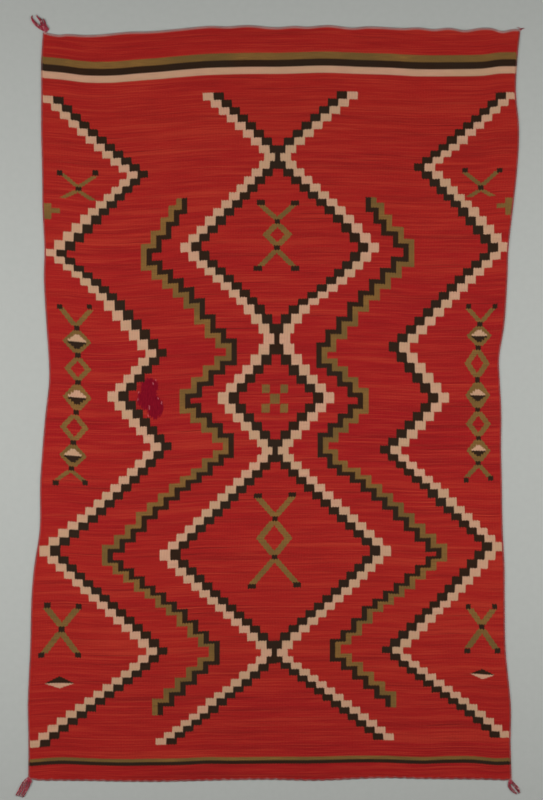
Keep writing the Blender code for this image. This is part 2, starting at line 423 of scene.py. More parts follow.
ZIGZAGS = {
    "outer left": Zigzag(Hand.LEFT, 83, 747.0, turn_rows(
        (0, 53.3, 96.3), (5, 96.4, 136.2), (10, 137.6, 171.2), (12, 121.5, 186.6), (14, 106.0, 201.0),
        (16, 91.0, 215.2), (18, 74.0, 232.7), (20, 56.3, 249.5), (22, 74.0, 265.0), (24, 91.0, 278.7),
        (27, 114.6, 300.5), (30, 140.0, 329.5), (32, 156.3, 349.2), (35, 134.2, 374.8),
        (37, 118.2, 391.3), (38, 125.6, 401.1), (40, 139.8, 418.3), (43, 161.2, 442.5),
        (46, 137.6, 467.8), (52, 87.7, 514.4), (54, 69.5, 529.2), (56, 50.0, 545.5), (57, 58.0, 556.0),
        (59, 75.0, 572.0), (64, 116.5, 609.0), (68, 149.0, 638.8), (69, 157.0, 647.3),
        (72, 131.5, 670.4), (76, 94.5, 697.5), (82, 40.0, 740.0),
    )),
    "outer right": Zigzag(Hand.RIGHT, 83, 737.7, turn_rows(
        (0, 506.0, 92.4), (4, 473.3, 122.0), (6, 457.0, 136.0), (7, 449.0, 144.2), (10, 424.4, 163.6),
        (12, 440.0, 179.0), (14, 454.0, 194.3), (15, 461.0, 200.6), (16, 468.5, 207.3),
        (18, 483.3, 225.6), (20, 498.2, 242.1), (21, 490.2, 252.6), (24, 465.0, 275.6),
        (28, 433.3, 308.0), (30, 415.8, 325.6), (32, 399.1, 342.1), (33, 407.2, 352.0),
        (37, 438.4, 392.2), (38, 430.8, 403.0), (39, 423.2, 412.2), (42, 399.2, 438.0),
        (43, 390.4, 446.1), (44, 399.0, 454.3), (48, 430.0, 483.0), (49, 437.8, 489.0),
        (51, 454.0, 506.2), (56, 492.2, 542.1), (57, 485.3, 551.2), (59, 470.3, 568.1),
        (63, 440.3, 601.0), (65, 425.0, 614.5), (69, 392.3, 646.5), (71, 409.0, 660.8),
        (75, 442.0, 686.0), (79, 475.0, 710.2), (82, 499.8, 731.0),
    )),
    "centre left": Zigzag(Hand.LEFT, 82, 744.5, turn_rows(
        (0, 213.5, 92.7), (4, 246.2, 122.1), (7, 269.6, 145.7), (8, 274.9, 153.7), (9, 269.8, 161.3),
        (14, 232.0, 200.1), (16, 216.2, 216.1), (17, 207.3, 225.7), (19, 191.0, 242.3),
        (21, 207.0, 260.2), (22, 215.0, 267.3), (25, 239.5, 289.2), (27, 254.4, 304.6),
        (28, 261.8, 313.7), (29, 269.3, 324.2), (30, 274.2, 333.6), (31, 269.3, 343.8),
        (33, 253.0, 365.1), (36, 228.5, 392.2), (37, 235.5, 403.8), (38, 243.5, 413.3),
        (41, 267.7, 439.2), (42, 272.4, 446.9), (43, 267.7, 454.7), (47, 235.8, 485.3),
        (50, 212.2, 508.7), (55, 170.2, 549.4), (56, 178.7, 559.9), (58, 194.4, 574.4),
        (60, 210.1, 590.1), (63, 233.7, 611.5), (66, 257.7, 632.6), (67, 266.5, 641.0),
        (68, 271.7, 648.8), (69, 266.5, 656.2), (73, 233.2, 686.3), (75, 216.3, 698.0),
        (77, 199.4, 713.3), (81, 166.3, 738.0),
    )),
    "centre right": Zigzag(Hand.RIGHT, 82, 739.8, turn_rows(
        (0, 347.1, 91.5), (4, 311.3, 122.1), (7, 285.5, 145.4), (8, 280.3, 153.7), (9, 285.8, 161.4),
        (11, 301.6, 176.5), (13, 318.0, 191.6), (15, 335.3, 206.2), (17, 352.2, 223.4),
        (19, 368.4, 242.4), (21, 352.5, 261.4), (23, 336.4, 276.9), (25, 317.1, 291.8),
        (27, 299.1, 305.2), (28, 291.1, 314.0), (29, 283.5, 324.2), (30, 279.5, 333.5),
        (31, 283.6, 344.0), (34, 306.9, 375.2), (36, 323.6, 392.3), (37, 315.8, 403.4),
        (41, 282.7, 439.2), (42, 277.9, 447.0), (43, 283.1, 454.8), (47, 314.4, 484.0),
        (55, 380.4, 545.5), (56, 372.4, 555.7), (60, 341.2, 587.4), (63, 316.5, 610.0),
        (66, 290.5, 632.2), (67, 282.1, 640.7), (68, 277.0, 648.8), (69, 282.6, 656.2),
        (74, 324.1, 687.6), (81, 383.2, 732.8),
    )),
}


@dataclass(frozen=True)
class Stair:
    """An olive stair with a dark one inside it: the foot of each riser, and where it stands."""

    hand: Hand
    top_down: float
    # Each row is a riser's number and the height of its foot.
    feet: tuple[tuple[float, float], ...]
    # Each row is a riser's number and its outer edge.
    edges: tuple[tuple[int, float], ...]
    bar_width: float = 5.5
    # The risers at which it turns, an outer turn first, and the tread height of each leg.
    turns: tuple[int, ...] = (4, 12, 16, 20, 31, 41)
    treads: tuple[float, ...] = (4.8, 4.8, 4.8, 4.8, 4.0, 2.9, 4.0)

    def edge_at(self, riser: float) -> float:
        """Where a riser's outer edge stands."""
        return float(np.interp(riser, [k for k, _ in self.edges], [x for _, x in self.edges]))

    def foot_weft(self, riser: float) -> float:
        """The height in the weave of a riser's foot.

        Args:
            riser: the riser's number, or less than zero for the stair's top.

        Returns:
            The height, in pixels.
        """
        if riser < 0:
            return CHART.weft(self.edge_at(0), self.top_down)
        down = float(np.interp(riser, [k for k, _ in self.feet], [y for _, y in self.feet]))
        return CHART.weft(self.edge_at(riser), down)

    def legs(self) -> list[tuple[float, float, float]]:
        """Each turn's height in the weave, with the tread height before it and after it."""
        wefts = [(self.foot_weft(riser - 1) + self.foot_weft(riser)) / 2 for riser in self.turns]
        return list(zip(wefts, self.treads, self.treads[1:]))


STAIRS = {
    "left": Stair(
        Hand.LEFT, 198.7,
        ((0, 210.6), (1, 222.0), (2, 234.9), (3, 248.4), (4, 271.0), (5, 279.6), (6, 289.2), (7, 297.9),
         (8, 309.0), (9, 324.8), (10, 338.2), (11, 348.2), (12, 360.8), (13, 370.0), (15, 393.5),
         (16, 413.8), (17, 423.2), (18, 433.3), (19, 442.8), (20, 454.2), (21, 462.0), (22, 472.0),
         (23, 479.7), (24, 487.3), (25, 496.3), (26, 505.9), (27, 515.5), (28, 528.4), (29, 538.8),
         (30, 548.8), (31, 565.6), (32, 574.0), (33, 582.6), (34, 591.9), (35, 598.6), (36, 607.8),
         (37, 615.4), (38, 626.8), (39, 637.6), (40, 647.0), (41, 661.0), (42, 670.3), (45, 702.5),
         (46, 715.3)),
        ((0, 176.3), (1, 168.0), (2, 160.5), (3, 151.2), (4, 141.0), (12, 226.0), (16, 179.6),
         (20, 222.9), (21, 212.9), (30, 114.0), (31, 102.0), (41, 208.8), (46, 152.2)),
    ),
    "right": Stair(
        Hand.RIGHT, 197.4,
        ((0, 207.6), (1, 219.4), (2, 231.3), (3, 243.5), (4, 267.2), (5, 278.5), (6, 289.8), (7, 300.2),
         (8, 311.8), (9, 326.5), (10, 339.6), (11, 352.0), (12, 363.3), (13, 371.2), (14, 381.6),
         (15, 392.6), (16, 413.8), (17, 423.4), (18, 432.2), (19, 442.2), (20, 453.6), (21, 464.6),
         (22, 472.1), (23, 479.1), (24, 488.3), (25, 497.0), (26, 506.1), (27, 516.6), (28, 527.0),
         (29, 538.3), (30, 547.8), (31, 561.4), (32, 570.0), (33, 579.3), (34, 589.3), (35, 597.2),
         (36, 604.8), (37, 611.8), (38, 623.5), (39, 635.5), (40, 644.4), (41, 657.5), (42, 665.9),
         (45, 695.0), (46, 707.3)),
        ((0, 376.5), (1, 384.0), (2, 392.0), (3, 403.8), (4, 414.2), (5, 401.7), (11, 336.2),
         (12, 327.2), (16, 368.6), (20, 328.5), (22, 347.7), (23, 360.6), (31, 447.0), (32, 436.8),
         (41, 340.7), (46, 396.2)),
    ),
}


@dataclass(frozen=True)
class Ink:
    """A small rectangle of one colour: its left, top, right and bottom."""

    left: float
    top: float
    right: float
    bottom: float


@dataclass(frozen=True)
class Arms:
    """Two slanting bars that meet at a knot: their middle, and their reach at top and bottom."""

    middle: float
    top: float
    bottom: float
    reach_top: float
    reach_bottom: float
    half_bar: float = 3.2


@dataclass(frozen=True)
class Diamond:
    """A diamond of bars, open or filled: its left, top, right and bottom."""

    left: float
    top: float
    right: float
    bottom: float
    filled: bool = False
    half_bar: float = 3.2


DARK_INKS = (
    # The upper figure of the middle.
    Ink(256.8, 199.8, 265.0, 205.2), Ink(290.8, 200.6, 299.2, 205.5), Ink(274.7, 219.4, 280.0, 223.8),
    Ink(273.9, 245.5, 280.0, 249.9), Ink(253.5, 265.9, 262.2, 271.0), Ink(291.0, 265.9, 299.4, 271.0),
    # The lower figure of the middle.
    Ink(253.8, 493.4, 262.0, 498.0), Ink(288.4, 492.2, 296.1, 496.8), Ink(272.3, 516.3, 277.7, 521.0),
    Ink(271.8, 554.8, 277.4, 559.1), Ink(247.6, 584.0, 256.0, 588.7), Ink(293.1, 582.2, 301.0, 587.3),
    # The upper crosses at the sides.
    Ink(56.9, 170.3, 62.6, 175.7), Ink(92.4, 170.3, 98.6, 175.7), Ink(75.5, 187.0, 81.6, 190.9),
    Ink(462.1, 168.1, 467.8, 172.5), Ink(496.8, 168.1, 502.5, 172.5), Ink(477.9, 185.5, 483.5, 190.0),
    # The left chain.
    Ink(56.9, 304.3, 62.6, 309.0), Ink(86.9, 304.5, 92.1, 309.0), Ink(74.2, 325.8, 79.7, 330.6),
    Ink(75.0, 352.9, 80.9, 357.8), Ink(75.2, 380.2, 81.0, 384.8), Ink(73.5, 410.0, 79.1, 414.8),
    Ink(70.4, 440.3, 76.4, 444.8), Ink(68.8, 466.3, 74.4, 470.6), Ink(52.7, 480.2, 59.0, 485.3),
    Ink(82.3, 480.2, 88.0, 485.3),
    # The right chain.
    Ink(466.0, 304.0, 471.0, 308.7), Ink(492.4, 304.0, 497.4, 308.7), Ink(477.0, 322.0, 482.5, 326.5),
    Ink(475.4, 345.5, 480.8, 349.9), Ink(474.9, 377.0, 479.7, 382.6), Ink(475.0, 407.8, 480.0, 411.8),
    Ink(476.0, 436.0, 480.8, 440.0), Ink(475.4, 461.2, 480.6, 465.0), Ink(463.6, 477.7, 468.6, 482.6),
    Ink(487.9, 476.0, 493.3, 480.6),
    # The lower crosses at the sides.
    Ink(44.1, 602.4, 50.7, 608.0), Ink(75.8, 603.6, 81.8, 609.0), Ink(58.5, 626.4, 64.8, 632.1),
    Ink(38.2, 652.5, 44.5, 657.6), Ink(75.1, 652.5, 81.2, 657.6), Ink(465.7, 604.0, 470.6, 609.0),
    Ink(492.0, 604.0, 497.1, 609.0), Ink(478.9, 624.2, 484.4, 629.1), Ink(464.2, 648.2, 470.3, 653.3),
    Ink(494.6, 648.2, 500.4, 653.3),
)
OLIVE_INKS = (
    # Five squares in the middle diamond.
    Ink(262.0, 384.5, 269.8, 393.0), Ink(280.4, 384.5, 288.0, 393.0), Ink(270.0, 393.8, 279.8, 403.8),
    Ink(261.5, 403.8, 269.8, 412.7), Ink(280.2, 403.8, 288.0, 412.7),
    # Half crosses at the two edges.
    Ink(40.0, 203.2, 51.4, 219.0), Ink(51.0, 208.2, 60.1, 213.1), Ink(505.2, 197.6, 516.0, 214.8),
    Ink(496.6, 203.4, 505.6, 207.8),
)
ARMS = (
    Arms(277.4, 205.3, 219.5, 16.2, 0.3, 3.6), Arms(276.7, 249.8, 266.0, 0.3, 16.2, 3.4),
    Arms(275.0, 497.0, 516.4, 17.4, 0.4, 3.7), Arms(274.6, 559.0, 583.8, 0.4, 22.4, 3.6),
    Arms(78.0, 175.2, 187.2, 16.8, 0.3), Arms(78.0, 190.8, 199.8, 0.8, 15.4, 3.4),
    Arms(481.4, 172.4, 185.6, 16.6, 0.3), Arms(480.7, 189.9, 197.0, 0.8, 12.0, 3.4),
    Arms(75.7, 308.9, 325.9, 15.0, 0.8), Arms(70.8, 470.4, 480.4, 0.6, 13.8),
    Arms(480.6, 308.6, 322.1, 12.6, 0.6, 2.9), Arms(478.4, 464.9, 477.2, 0.6, 11.6, 2.9),
    Arms(62.0, 607.6, 626.6, 15.4, 0.4, 3.8), Arms(60.6, 632.0, 652.7, 0.4, 16.6, 3.8),
    Arms(481.4, 608.8, 624.4, 11.8, 0.4, 3.5), Arms(482.0, 629.0, 648.4, 0.4, 14.2, 3.5),
)
DIAMONDS = (
    Diamond(262.4, 223.9, 292.4, 245.6, half_bar=3.8),
    Diamond(256.0, 521.0, 292.4, 555.0, half_bar=3.9),
    Diamond(62.5, 330.6, 91.5, 352.9, filled=True), Diamond(64.2, 357.9, 91.6, 380.3),
    Diamond(62.8, 384.8, 91.6, 410.0, filled=True), Diamond(60.0, 414.8, 88.8, 440.3),
    Diamond(59.2, 444.8, 86.9, 466.4, filled=True), Diamond(466.5, 326.4, 491.8, 345.6, filled=True),
    Diamond(464.3, 349.8, 489.6, 377.0), Diamond(465.2, 382.6, 490.0, 407.9, filled=True),
    Diamond(465.6, 411.8, 490.8, 436.0), Diamond(466.5, 440.0, 490.4, 461.3, filled=True),
)


@dataclass(frozen=True)
class Lens:
    """A flat diamond of two triangles, dark above and pale below."""

    left: float
    right: float
    top: float
    middle: float
    bottom: float


LENSES = (Lens(45.0, 74.1, 676.2, 682.9, 688.2), Lens(470.3, 494.3, 669.0, 674.2, 679.0))


@dataclass(frozen=True)
class Stripe:
    """A band of one colour across the whole width, by its heights in the weave."""

    top: float
    bottom: float


OLIVE_STRIPES = (Stripe(55.4, 62.4), Stripe(757.1, 760.4))
DARK_STRIPES = (Stripe(62.4, 69.5), Stripe(760.4, 764.0))
PALE_STRIPES = (Stripe(69.5, 76.5),)


class TapestryPattern:
    """The colours of the weft, as masks: olive, dark and pale, and the red of the rest."""

    # How far a charted corner may be passed by, in pixels, rows and risers.
    slack: float = 0.7
    row_slack: float = 0.07
    riser_slack: float = 0.06
    diamond_tip: float = 0.5
    lens_tip: float = 0.3
    # How far the dark stair's reading jumps past an outer turn.
    jump: float = 0.1
    inner_half: float = 9.0
    inner_margin: float = 2.2
    inner_step: float = 2.9
    inner_rise: float = 2.35
    inner_reach: float = 7.2

    def __init__(self, sheet: NodeSheet, across: Socket, weft: Socket) -> None:
        """Takes the two charted coordinates.

        Args:
            sheet: where the nodes are written.
            across: the place across, in pixels.
            weft: the height in the weave, in pixels.
        """
        self.sheet = sheet
        self.across = across
        self.weft = weft
        self.olive: list[Socket] = []
        self.dark: list[Socket] = []
        self.pale: list[Socket] = []

    def stripes(self) -> None:
        """The bands of the two ends."""
        for found, stripes in (
            (self.olive, OLIVE_STRIPES), (self.dark, DARK_STRIPES), (self.pale, PALE_STRIPES),
        ):
            found.extend(self.sheet.between(self.weft, s.top, s.bottom) for s in stripes)

    def zigzag(self, line: Zigzag) -> None:
        """One stepped line of pale and dark blocks.

        Args:
            line: the charted line.
        """
        s = self.sheet
        heights = [(CHART.weft(t.across, t.down), float(t.row)) for t in line.turns]
        last = line.turns[-1]
        heights.append((CHART.weft(last.across, line.end_down), float(line.rows)))
        progress = s.bent_line(self.weft, thinned(heights, self.row_slack))
        row = s.math("FLOOR", progress)
        inside = s.between(row, -0.5, line.rows - 0.5)
        leaning = s.math("MULTIPLY_ADD", s.math("SUBTRACT", progress, row), line.lean, row)
        leaning = s.math("SUBTRACT", leaning, line.lean / 2)
        meeting = s.bent_line(
            leaning, thinned([(float(t.row), t.across) for t in line.turns], self.slack))
        offset = s.math("SUBTRACT", self.across, meeting)
        wide = line.block_width * line.hand.value
        dark = s.between(offset, min(0.0, wide), max(0.0, wide))
        pale = s.between(offset, min(0.0, -wide), max(0.0, -wide))
        self.dark.append(s.both(dark, inside))
        self.pale.append(s.both(pale, inside))

    def stair_mask(self, stair: Stair, outward: Term, weft: Socket) -> Socket:
        """The bars of a stair, read at a place.

        Args:
            stair: the stair.
            outward: the place across, mirrored so that the outer edge is on the left.
            weft: the height in the weave.

        Returns:
            One on the stair's risers and treads.
        """
        s = self.sheet
        sign = stair.hand.value
        edges = thinned([(float(k), sign * x) for k, x in stair.edges], self.slack)
        heights = [(stair.foot_weft(-1), 0.0)]
        heights += [(stair.foot_weft(k), k + 1.0) for k, _ in stair.feet]
        heights = thinned(heights, self.riser_slack)
        step = s.bent_line(weft, heights)
        here = s.math("FLOOR", step)
        below = [(heights[0][0], heights[0][0] + stair.treads[0])]
        for turn, before, after in stair.legs():
            below += [(turn - 1.0, turn - 1.0 + before), (turn + 1.0, turn + 1.0 + after)]
        below.append((heights[-1][0], heights[-1][0] + stair.treads[-1]))
        lower = s.math("FLOOR", s.bent_line(s.bent_line(weft, below), heights))
        last = float(stair.edges[-1][0])
        here_edge = s.bent_line(here, edges)
        lower_edge = s.bent_line(s.math("MINIMUM", lower, last), edges)
        low = s.math("MINIMUM", here_edge, lower_edge)
        high = s.math("ADD", s.math("MAXIMUM", here_edge, lower_edge), stair.bar_width)
        wide = s.both(s.math("GREATER_THAN", outward, low), s.math("LESS_THAN", outward, high))
        return s.both(wide, s.between(step, 0.0, last + 1.0))

    def stair(self, stair: Stair) -> None:
        """An olive stair and the dark one inside it.

        Args:
            stair: the charted stair.
        """
        s = self.sheet
        outward = s.math("MULTIPLY", self.across, float(stair.hand.value))
        olive = self.stair_mask(stair, outward, self.weft)
        self.olive.append(olive)
        inner = s.math("SUBTRACT", outward, stair.bar_width)
        dark = self.stair_mask(stair, inner, self.inner_weft(stair))
        last = stair.edges[-1][0]
        dark = s.both(dark, s.between(self.weft, stair.foot_weft(-1), stair.foot_weft(last)))
        self.dark.append(s.without(dark, olive))

    def inner_weft(self, stair: Stair) -> Socket:
        """The height at which the olive stair is read to draw the dark one.

        Args:
            stair: the stair.

        Returns:
            A height that is a tread above the real one where the stair comes in, and one below
            it where the stair goes out.
        """
        jump = self.jump
        top = stair.foot_weft(-1)
        points = [(top, top + jump), (top + stair.treads[0] + jump, top + jump)]
        for number, (turn, before, after) in enumerate(stair.legs()):
            if number % 2:
                points += [(turn - before, turn), (turn + after, turn)]
            else:
                points += [(turn - jump, turn - jump - before), (turn + jump, turn + jump + after)]
        end = stair.foot_weft(stair.edges[-1][0])
        points.append((end, end - stair.treads[-1]))
        return self.sheet.bent_line(self.weft, points)

    def ink(self, ink: Ink) -> Socket:
        """A small rectangle."""
        sag = float(CHART.wave((ink.left + ink.right) / 2, (ink.top + ink.bottom) / 2))
        return self.sheet.block(self.across, self.weft, ink.left, ink.top - sag, ink.right,
                                ink.bottom - sag)

    def arms(self, arms: Arms) -> Socket:
        """A pair of slanting bars.

        Args:
            arms: the charted bars.

        Returns:
            The bars' mask.
        """
        s = self.sheet
        sag = float(CHART.wave(arms.middle, (arms.top + arms.bottom) / 2))
        top, bottom = arms.top - sag, arms.bottom - sag
        slope = (arms.reach_bottom - arms.reach_top) / (bottom - top)
        off = s.math("ABSOLUTE", s.math("SUBTRACT", self.across, arms.middle))
        reach = s.math("MULTIPLY_ADD", self.weft, slope, arms.reach_top - slope * top)
        return s.both(s.math("COMPARE", off, reach, arms.half_bar), s.between(self.weft, top, bottom))

    def diamond(self, shape: Diamond) -> None:
        """A diamond of bars, with a pale half over a dark one where it is filled.

        Args:
            shape: the charted diamond.
        """
        s = self.sheet
        middle = (shape.left + shape.right) / 2
        half_height = (shape.bottom - shape.top) / 2
        centre = (shape.top + shape.bottom) / 2 - float(CHART.wave(middle, shape.top + half_height))
        reach = (shape.right - shape.left) / 2 - shape.half_bar
        off = s.math("ABSOLUTE", s.math("SUBTRACT", self.across, middle))
        rise = s.math("ABSOLUTE", s.math("SUBTRACT", self.weft, centre))
        slope = (reach - self.diamond_tip) / half_height
        bar = s.math("MULTIPLY_ADD", rise, -slope, reach)
        inside = s.math("LESS_THAN", rise, half_height)
        self.olive.append(s.both(s.math("COMPARE", off, bar, shape.half_bar), inside))
        if not shape.filled:
            return
        grow = reach / (self.inner_half + self.inner_margin)
        steps = s.math("FLOOR", s.math("DIVIDE", rise, self.inner_rise * grow))
        fill = s.math("MULTIPLY_ADD", steps, -self.inner_step * grow, self.inner_half * grow)
        core = s.both(s.math("LESS_THAN", off, fill),
                      s.math("LESS_THAN", rise, self.inner_reach * grow))
        above = s.math("LESS_THAN", self.weft, centre)
        rim = s.both(s.math("LESS_THAN", off, bar), inside)
        self.olive.append(s.without(rim, core))
        self.pale.append(s.both(core, above))
        self.dark.append(s.without(core, above))

    def lens(self, shape: Lens) -> None:
        """Two flat triangles with one base.

        Args:
            shape: the charted lens.
        """
        s = self.sheet
        middle = (shape.left + shape.right) / 2
        half = (shape.right - shape.left) / 2
        sag = float(CHART.wave(middle, shape.middle))
        off = s.math("ABSOLUTE", s.math("SUBTRACT", self.across, middle))
        for found, low, high, tip in (
            (self.dark, shape.top - sag, shape.middle - sag, shape.top - sag),
            (self.pale, shape.middle - sag, shape.bottom - sag, shape.bottom - sag),
        ):
            slope = half / (shape.middle - sag - tip)
            reach = s.math("MULTIPLY_ADD", self.weft, slope, self.lens_tip - slope * tip)
            found.append(s.both(s.math("LESS_THAN", off, reach), s.between(self.weft, low, high)))

    def draw(self) -> tuple[Socket, Socket, Socket]:
        """Draws it all.

        Returns:
            The masks of olive, dark and pale.
        """
        self.stripes()
        for line in ZIGZAGS.values():
            self.zigzag(line)
        for stair in STAIRS.values():
            self.stair(stair)
        self.olive += [self.arms(a) for a in ARMS]
        for shape in DIAMONDS:
            self.diamond(shape)
        self.olive += [self.ink(i) for i in OLIVE_INKS]
        self.dark += [self.ink(i) for i in DARK_INKS]
        for shape in LENSES:
            self.lens(shape)
        s = self.sheet
        return s.any_of(self.olive), s.any_of(self.dark), s.any_of(self.pale)


@dataclass(frozen=True)
class Dye:
    """A wool colour as it shows: its lighter and deeper picks, and another dye lot of it."""

    light: Colour
    deep: Colour
    other: Colour


# Each row is a lobe's middle, height, half width and half height.
PATCH_LOBES = (
    (149.5, 386.5, 8.8, 8.6), (147.6, 399.4, 10.8, 10.0), (155.4, 407.4, 8.2, 11.2),
)
# Each row is a fleck's place across and down, and its length.
PATCH_FLECKS = (
    (153.2, 383.8, 2.2), (158.2, 398.0, 1.8), (149.4, 407.4, 4.2), (137.9, 399.4, 2.2),
    (161.6, 403.2, 3.0), (138.6, 392.4, 2.0), (148.2, 416.0, 2.4), (155.8, 380.4, 1.6),
)


@dataclass(frozen=True)
class WoolCloth:
    """The weft-faced cloth: dyed wools, shaded along the weft, over ribs of warp, with painted shade in the
    weave's grooves.
    """

    rib: float = CHART.width / CHART.ribs
    pick: float = 0.0011
    tooth: float = 0.32
    tooth_pitch: float = 1.9
    rib_tooth: float = 0.5
    red: Colour = linear(168, 32, 26)
    crimson: Colour = linear(159, 20, 26)
    orange: Colour = linear(190, 60, 40)
    brown_red: Colour = linear(122, 22, 21)
    heather: Colour = linear(204, 92, 78)
    olive: Dye = Dye(linear(144, 105, 52), linear(116, 83, 45), linear(110, 85, 45))
    dark: Dye = Dye(linear(53, 33, 18), linear(41, 26, 17), linear(46, 34, 24))
    pale: Dye = Dye(linear(209, 162, 132), linear(197, 147, 120), linear(192, 154, 120))
    repair: Colour = linear(118, 3, 26)
    darning: Colour = linear(150, 16, 36)
    patch_fleck: Colour = linear(214, 120, 130)
    # How far in from the top end the binding of the warps shows, and its pitch.
    binding: float = 0.0028
    binding_pitch: float = 0.0067
    # Painted highlight on each bead of the binding, and painted shade between the beads.
    binding_highlight: Colour = linear(224, 160, 148)
    binding_shade: Colour = linear(84, 24, 24)

    def material(self) -> bpy.types.Material:
        """Makes the cloth's material.

        Returns:
            The material, which reads Object coordinates and the sheet's own Weave map.
        """
        material = bpy.data.materials.new("Woven wool")
        material.use_nodes = True
        s = NodeSheet(material)
        shader = material.node_tree.nodes["Principled BSDF"]
        place_node = s.node("ShaderNodeTexCoord").outputs["Object"]
        weave = s.node("ShaderNodeUVMap", uv_map="Weave").outputs[0]
        per_pixel = 1 / CHART.pixel
        parts = s.node("ShaderNodeSeparateXYZ", {0: place_node})
        woven = s.node("ShaderNodeSeparateXYZ", {0: weave})
        uneven = s.noise(s.stretched(weave, (60.0, 420.0, 1.0)), 1.0, 2.0)
        waver = s.noise(s.stretched(weave, (110.0, 45.0, 1.0)), 1.0, 1.0)
        across = s.math("MULTIPLY_ADD", parts.outputs[0], per_pixel, ORIGIN_ACROSS - 0.4)
        across = s.math("MULTIPLY_ADD", uneven, 0.8, across)
        weft = s.math("MULTIPLY_ADD", woven.outputs[1], per_pixel, -0.3)
        weft = s.math("MULTIPLY_ADD", waver, 0.6, weft)
        tooth = s.math("SINE", s.math("MULTIPLY", weft, 2 * math.pi / self.tooth_pitch))
        beads = s.math("SINE", s.math("MULTIPLY", woven.outputs[0], math.pi / self.rib))
        across = s.math("MULTIPLY_ADD", tooth, self.tooth, across)
        weft = s.math("MULTIPLY_ADD", beads, self.rib_tooth, weft)
        olive, dark, pale = TapestryPattern(s, across, weft).draw()
        colour = self.reds(s, weave, weft)
        fine = s.noise(s.stretched(weave, (26.0, 900.0, 1.0)), 1.0, 2.0)
        tone = s.spread(fine, 0.3, 0.7, 0.0, 1.0)
        colour = self.repaired(s, colour, across, weft, weave)
        lot = s.spread(s.noise(s.stretched(weave, (5.0, 11.0, 1.0)), 1.0, 2.0), 0.4, 0.62, 0.0, 0.8)
        for mask, dye in ((olive, self.olive), (dark, self.dark), (pale, self.pale)):
            colour = s.mix(mask, colour, s.mix(lot, s.mix(tone, dye.deep, dye.light), dye.other))
        colour = self.bound(s, colour, woven.outputs[0])
        shade = s.spread(fine, 0.25, 0.75, 0.9, 1.08)
        height, groove_shade = self.relief(s, woven.outputs[0], woven.outputs[1], weave)
        # Painted shade: the weave's grooves and the dips between rib beads darken the colour, over random
        # tone.
        shade = s.both(shade, s.spread(groove_shade, 0.0, 1.0, 0.86, 1.04))
        shade = s.both(shade, s.spread(beads, -1.0, 1.0, 0.955, 1.045))
        lit = s.node("ShaderNodeVectorMath", {0: colour, "Scale": shade}, operation="SCALE")
        material.node_tree.links.new(lit.outputs[0], shader.inputs["Base Color"])
        bump = s.node("ShaderNodeBump", {"Height": height, "Strength": 0.55, "Distance": 0.0006})
        material.node_tree.links.new(bump.outputs[0], shader.inputs["Normal"])
        rough = s.spread(fine, 0.3, 0.7, 0.86, 0.96)
        material.node_tree.links.new(rough, shader.inputs["Roughness"])
        shader.inputs["Specular IOR Level"].default_value = 0.08
        shader.inputs["Sheen Weight"].default_value = 0.03
        shader.inputs["Sheen Roughness"].default_value = 0.55
        return material

    def reds(self, s: NodeSheet, weave: Socket, weft: Socket) -> Socket:
        """The ground: dye lots that change from pick to pick, streaked along the weft.

        Args:
            s: where the nodes are written.
            weave: the Weave map.
            weft: the height in the weave, in pixels.

        Returns:
            The red at each place.
        """
        broad = s.noise(s.stretched(weave, (1.3, 40.0, 1.0)), 1.0, 3.0, 0.62)
        streak = s.noise(s.stretched(weave, (6.0, 290.0, 1.0)), 1.0, 2.0, 0.6)
        lone = s.noise(s.stretched(weave, (3.2, 210.0, 1.0)), 1.0, 1.0, 0.5)
        lots = s.noise(s.stretched(weave, (0.6, 7.0, 1.0)), 1.0, 2.0)
        fleece = s.noise(s.stretched(weave, (420.0, 460.0, 1.0)), 1.0, 1.0)
        crimson_share = s.bent_line(weft, [(30.0, 0.3), (120.0, 0.1), (260.0, 0.5), (420.0, 0.75),
                                           (540.0, 0.3), (660.0, 0.25), (785.0, 0.45)])
        crimson_share = s.math("MULTIPLY_ADD", s.math("SUBTRACT", lots, 0.5), 1.6, crimson_share)
        crimson_share = s.spread(crimson_share, 0.0, 1.0, 0.0, 1.0)
        ground = s.mix(crimson_share, self.red, self.crimson)
        ground = s.mix(s.spread(broad, 0.52, 0.74, 0.0, 0.65), ground, self.orange)
        ground = s.mix(s.spread(broad, 0.28, 0.47, 0.5, 0.0), ground, self.brown_red)
        ground = s.mix(s.spread(streak, 0.50, 0.72, 0.0, 0.55), ground, self.orange)
        ground = s.mix(s.spread(streak, 0.28, 0.48, 0.45, 0.0), ground, self.brown_red)
        ground = s.mix(s.spread(lone, 0.65, 0.75, 0.0, 0.7), ground, self.orange)
        ground = s.mix(s.spread(lone, 0.25, 0.33, 0.75, 0.0), ground, self.brown_red)
        ground = s.mix(s.spread(fleece, 0.50, 0.72, 0.0, 0.13), ground, self.heather)
        return s.mix(s.spread(fleece, 0.28, 0.5, 0.25, 0.0), ground, self.brown_red)

    def bound(self, s: NodeSheet, colour: Socket, along: Socket) -> Socket:
        """The rows nearest the top end, where the binding cord draws the warps together, with painted
        highlights on its beads and painted shade between them.

        Args:
            s: where the nodes are written.
            colour: the cloth's colour so far.
            along: the place along the weft, in metres.

        Returns:
            The colour with the binding's painted highlights and shade.
        """
        ends = s.node("ShaderNodeSeparateXYZ", {0: s.node("ShaderNodeUVMap", uv_map="Ends").outputs[0]})
        near = s.spread(ends.outputs[0], 0.0006, self.binding, 0.9, 0.0)
        # Painted highlight and shade: a pale bead and a dark gap by turns along the top end.
        turn = s.math("SINE", s.math("MULTIPLY", along, 2 * math.pi / self.binding_pitch))
        bead = s.spread(turn, -0.15, 0.35, 0.0, 1.0)
        return s.mix(near, colour, s.mix(bead, self.binding_shade, self.binding_highlight))

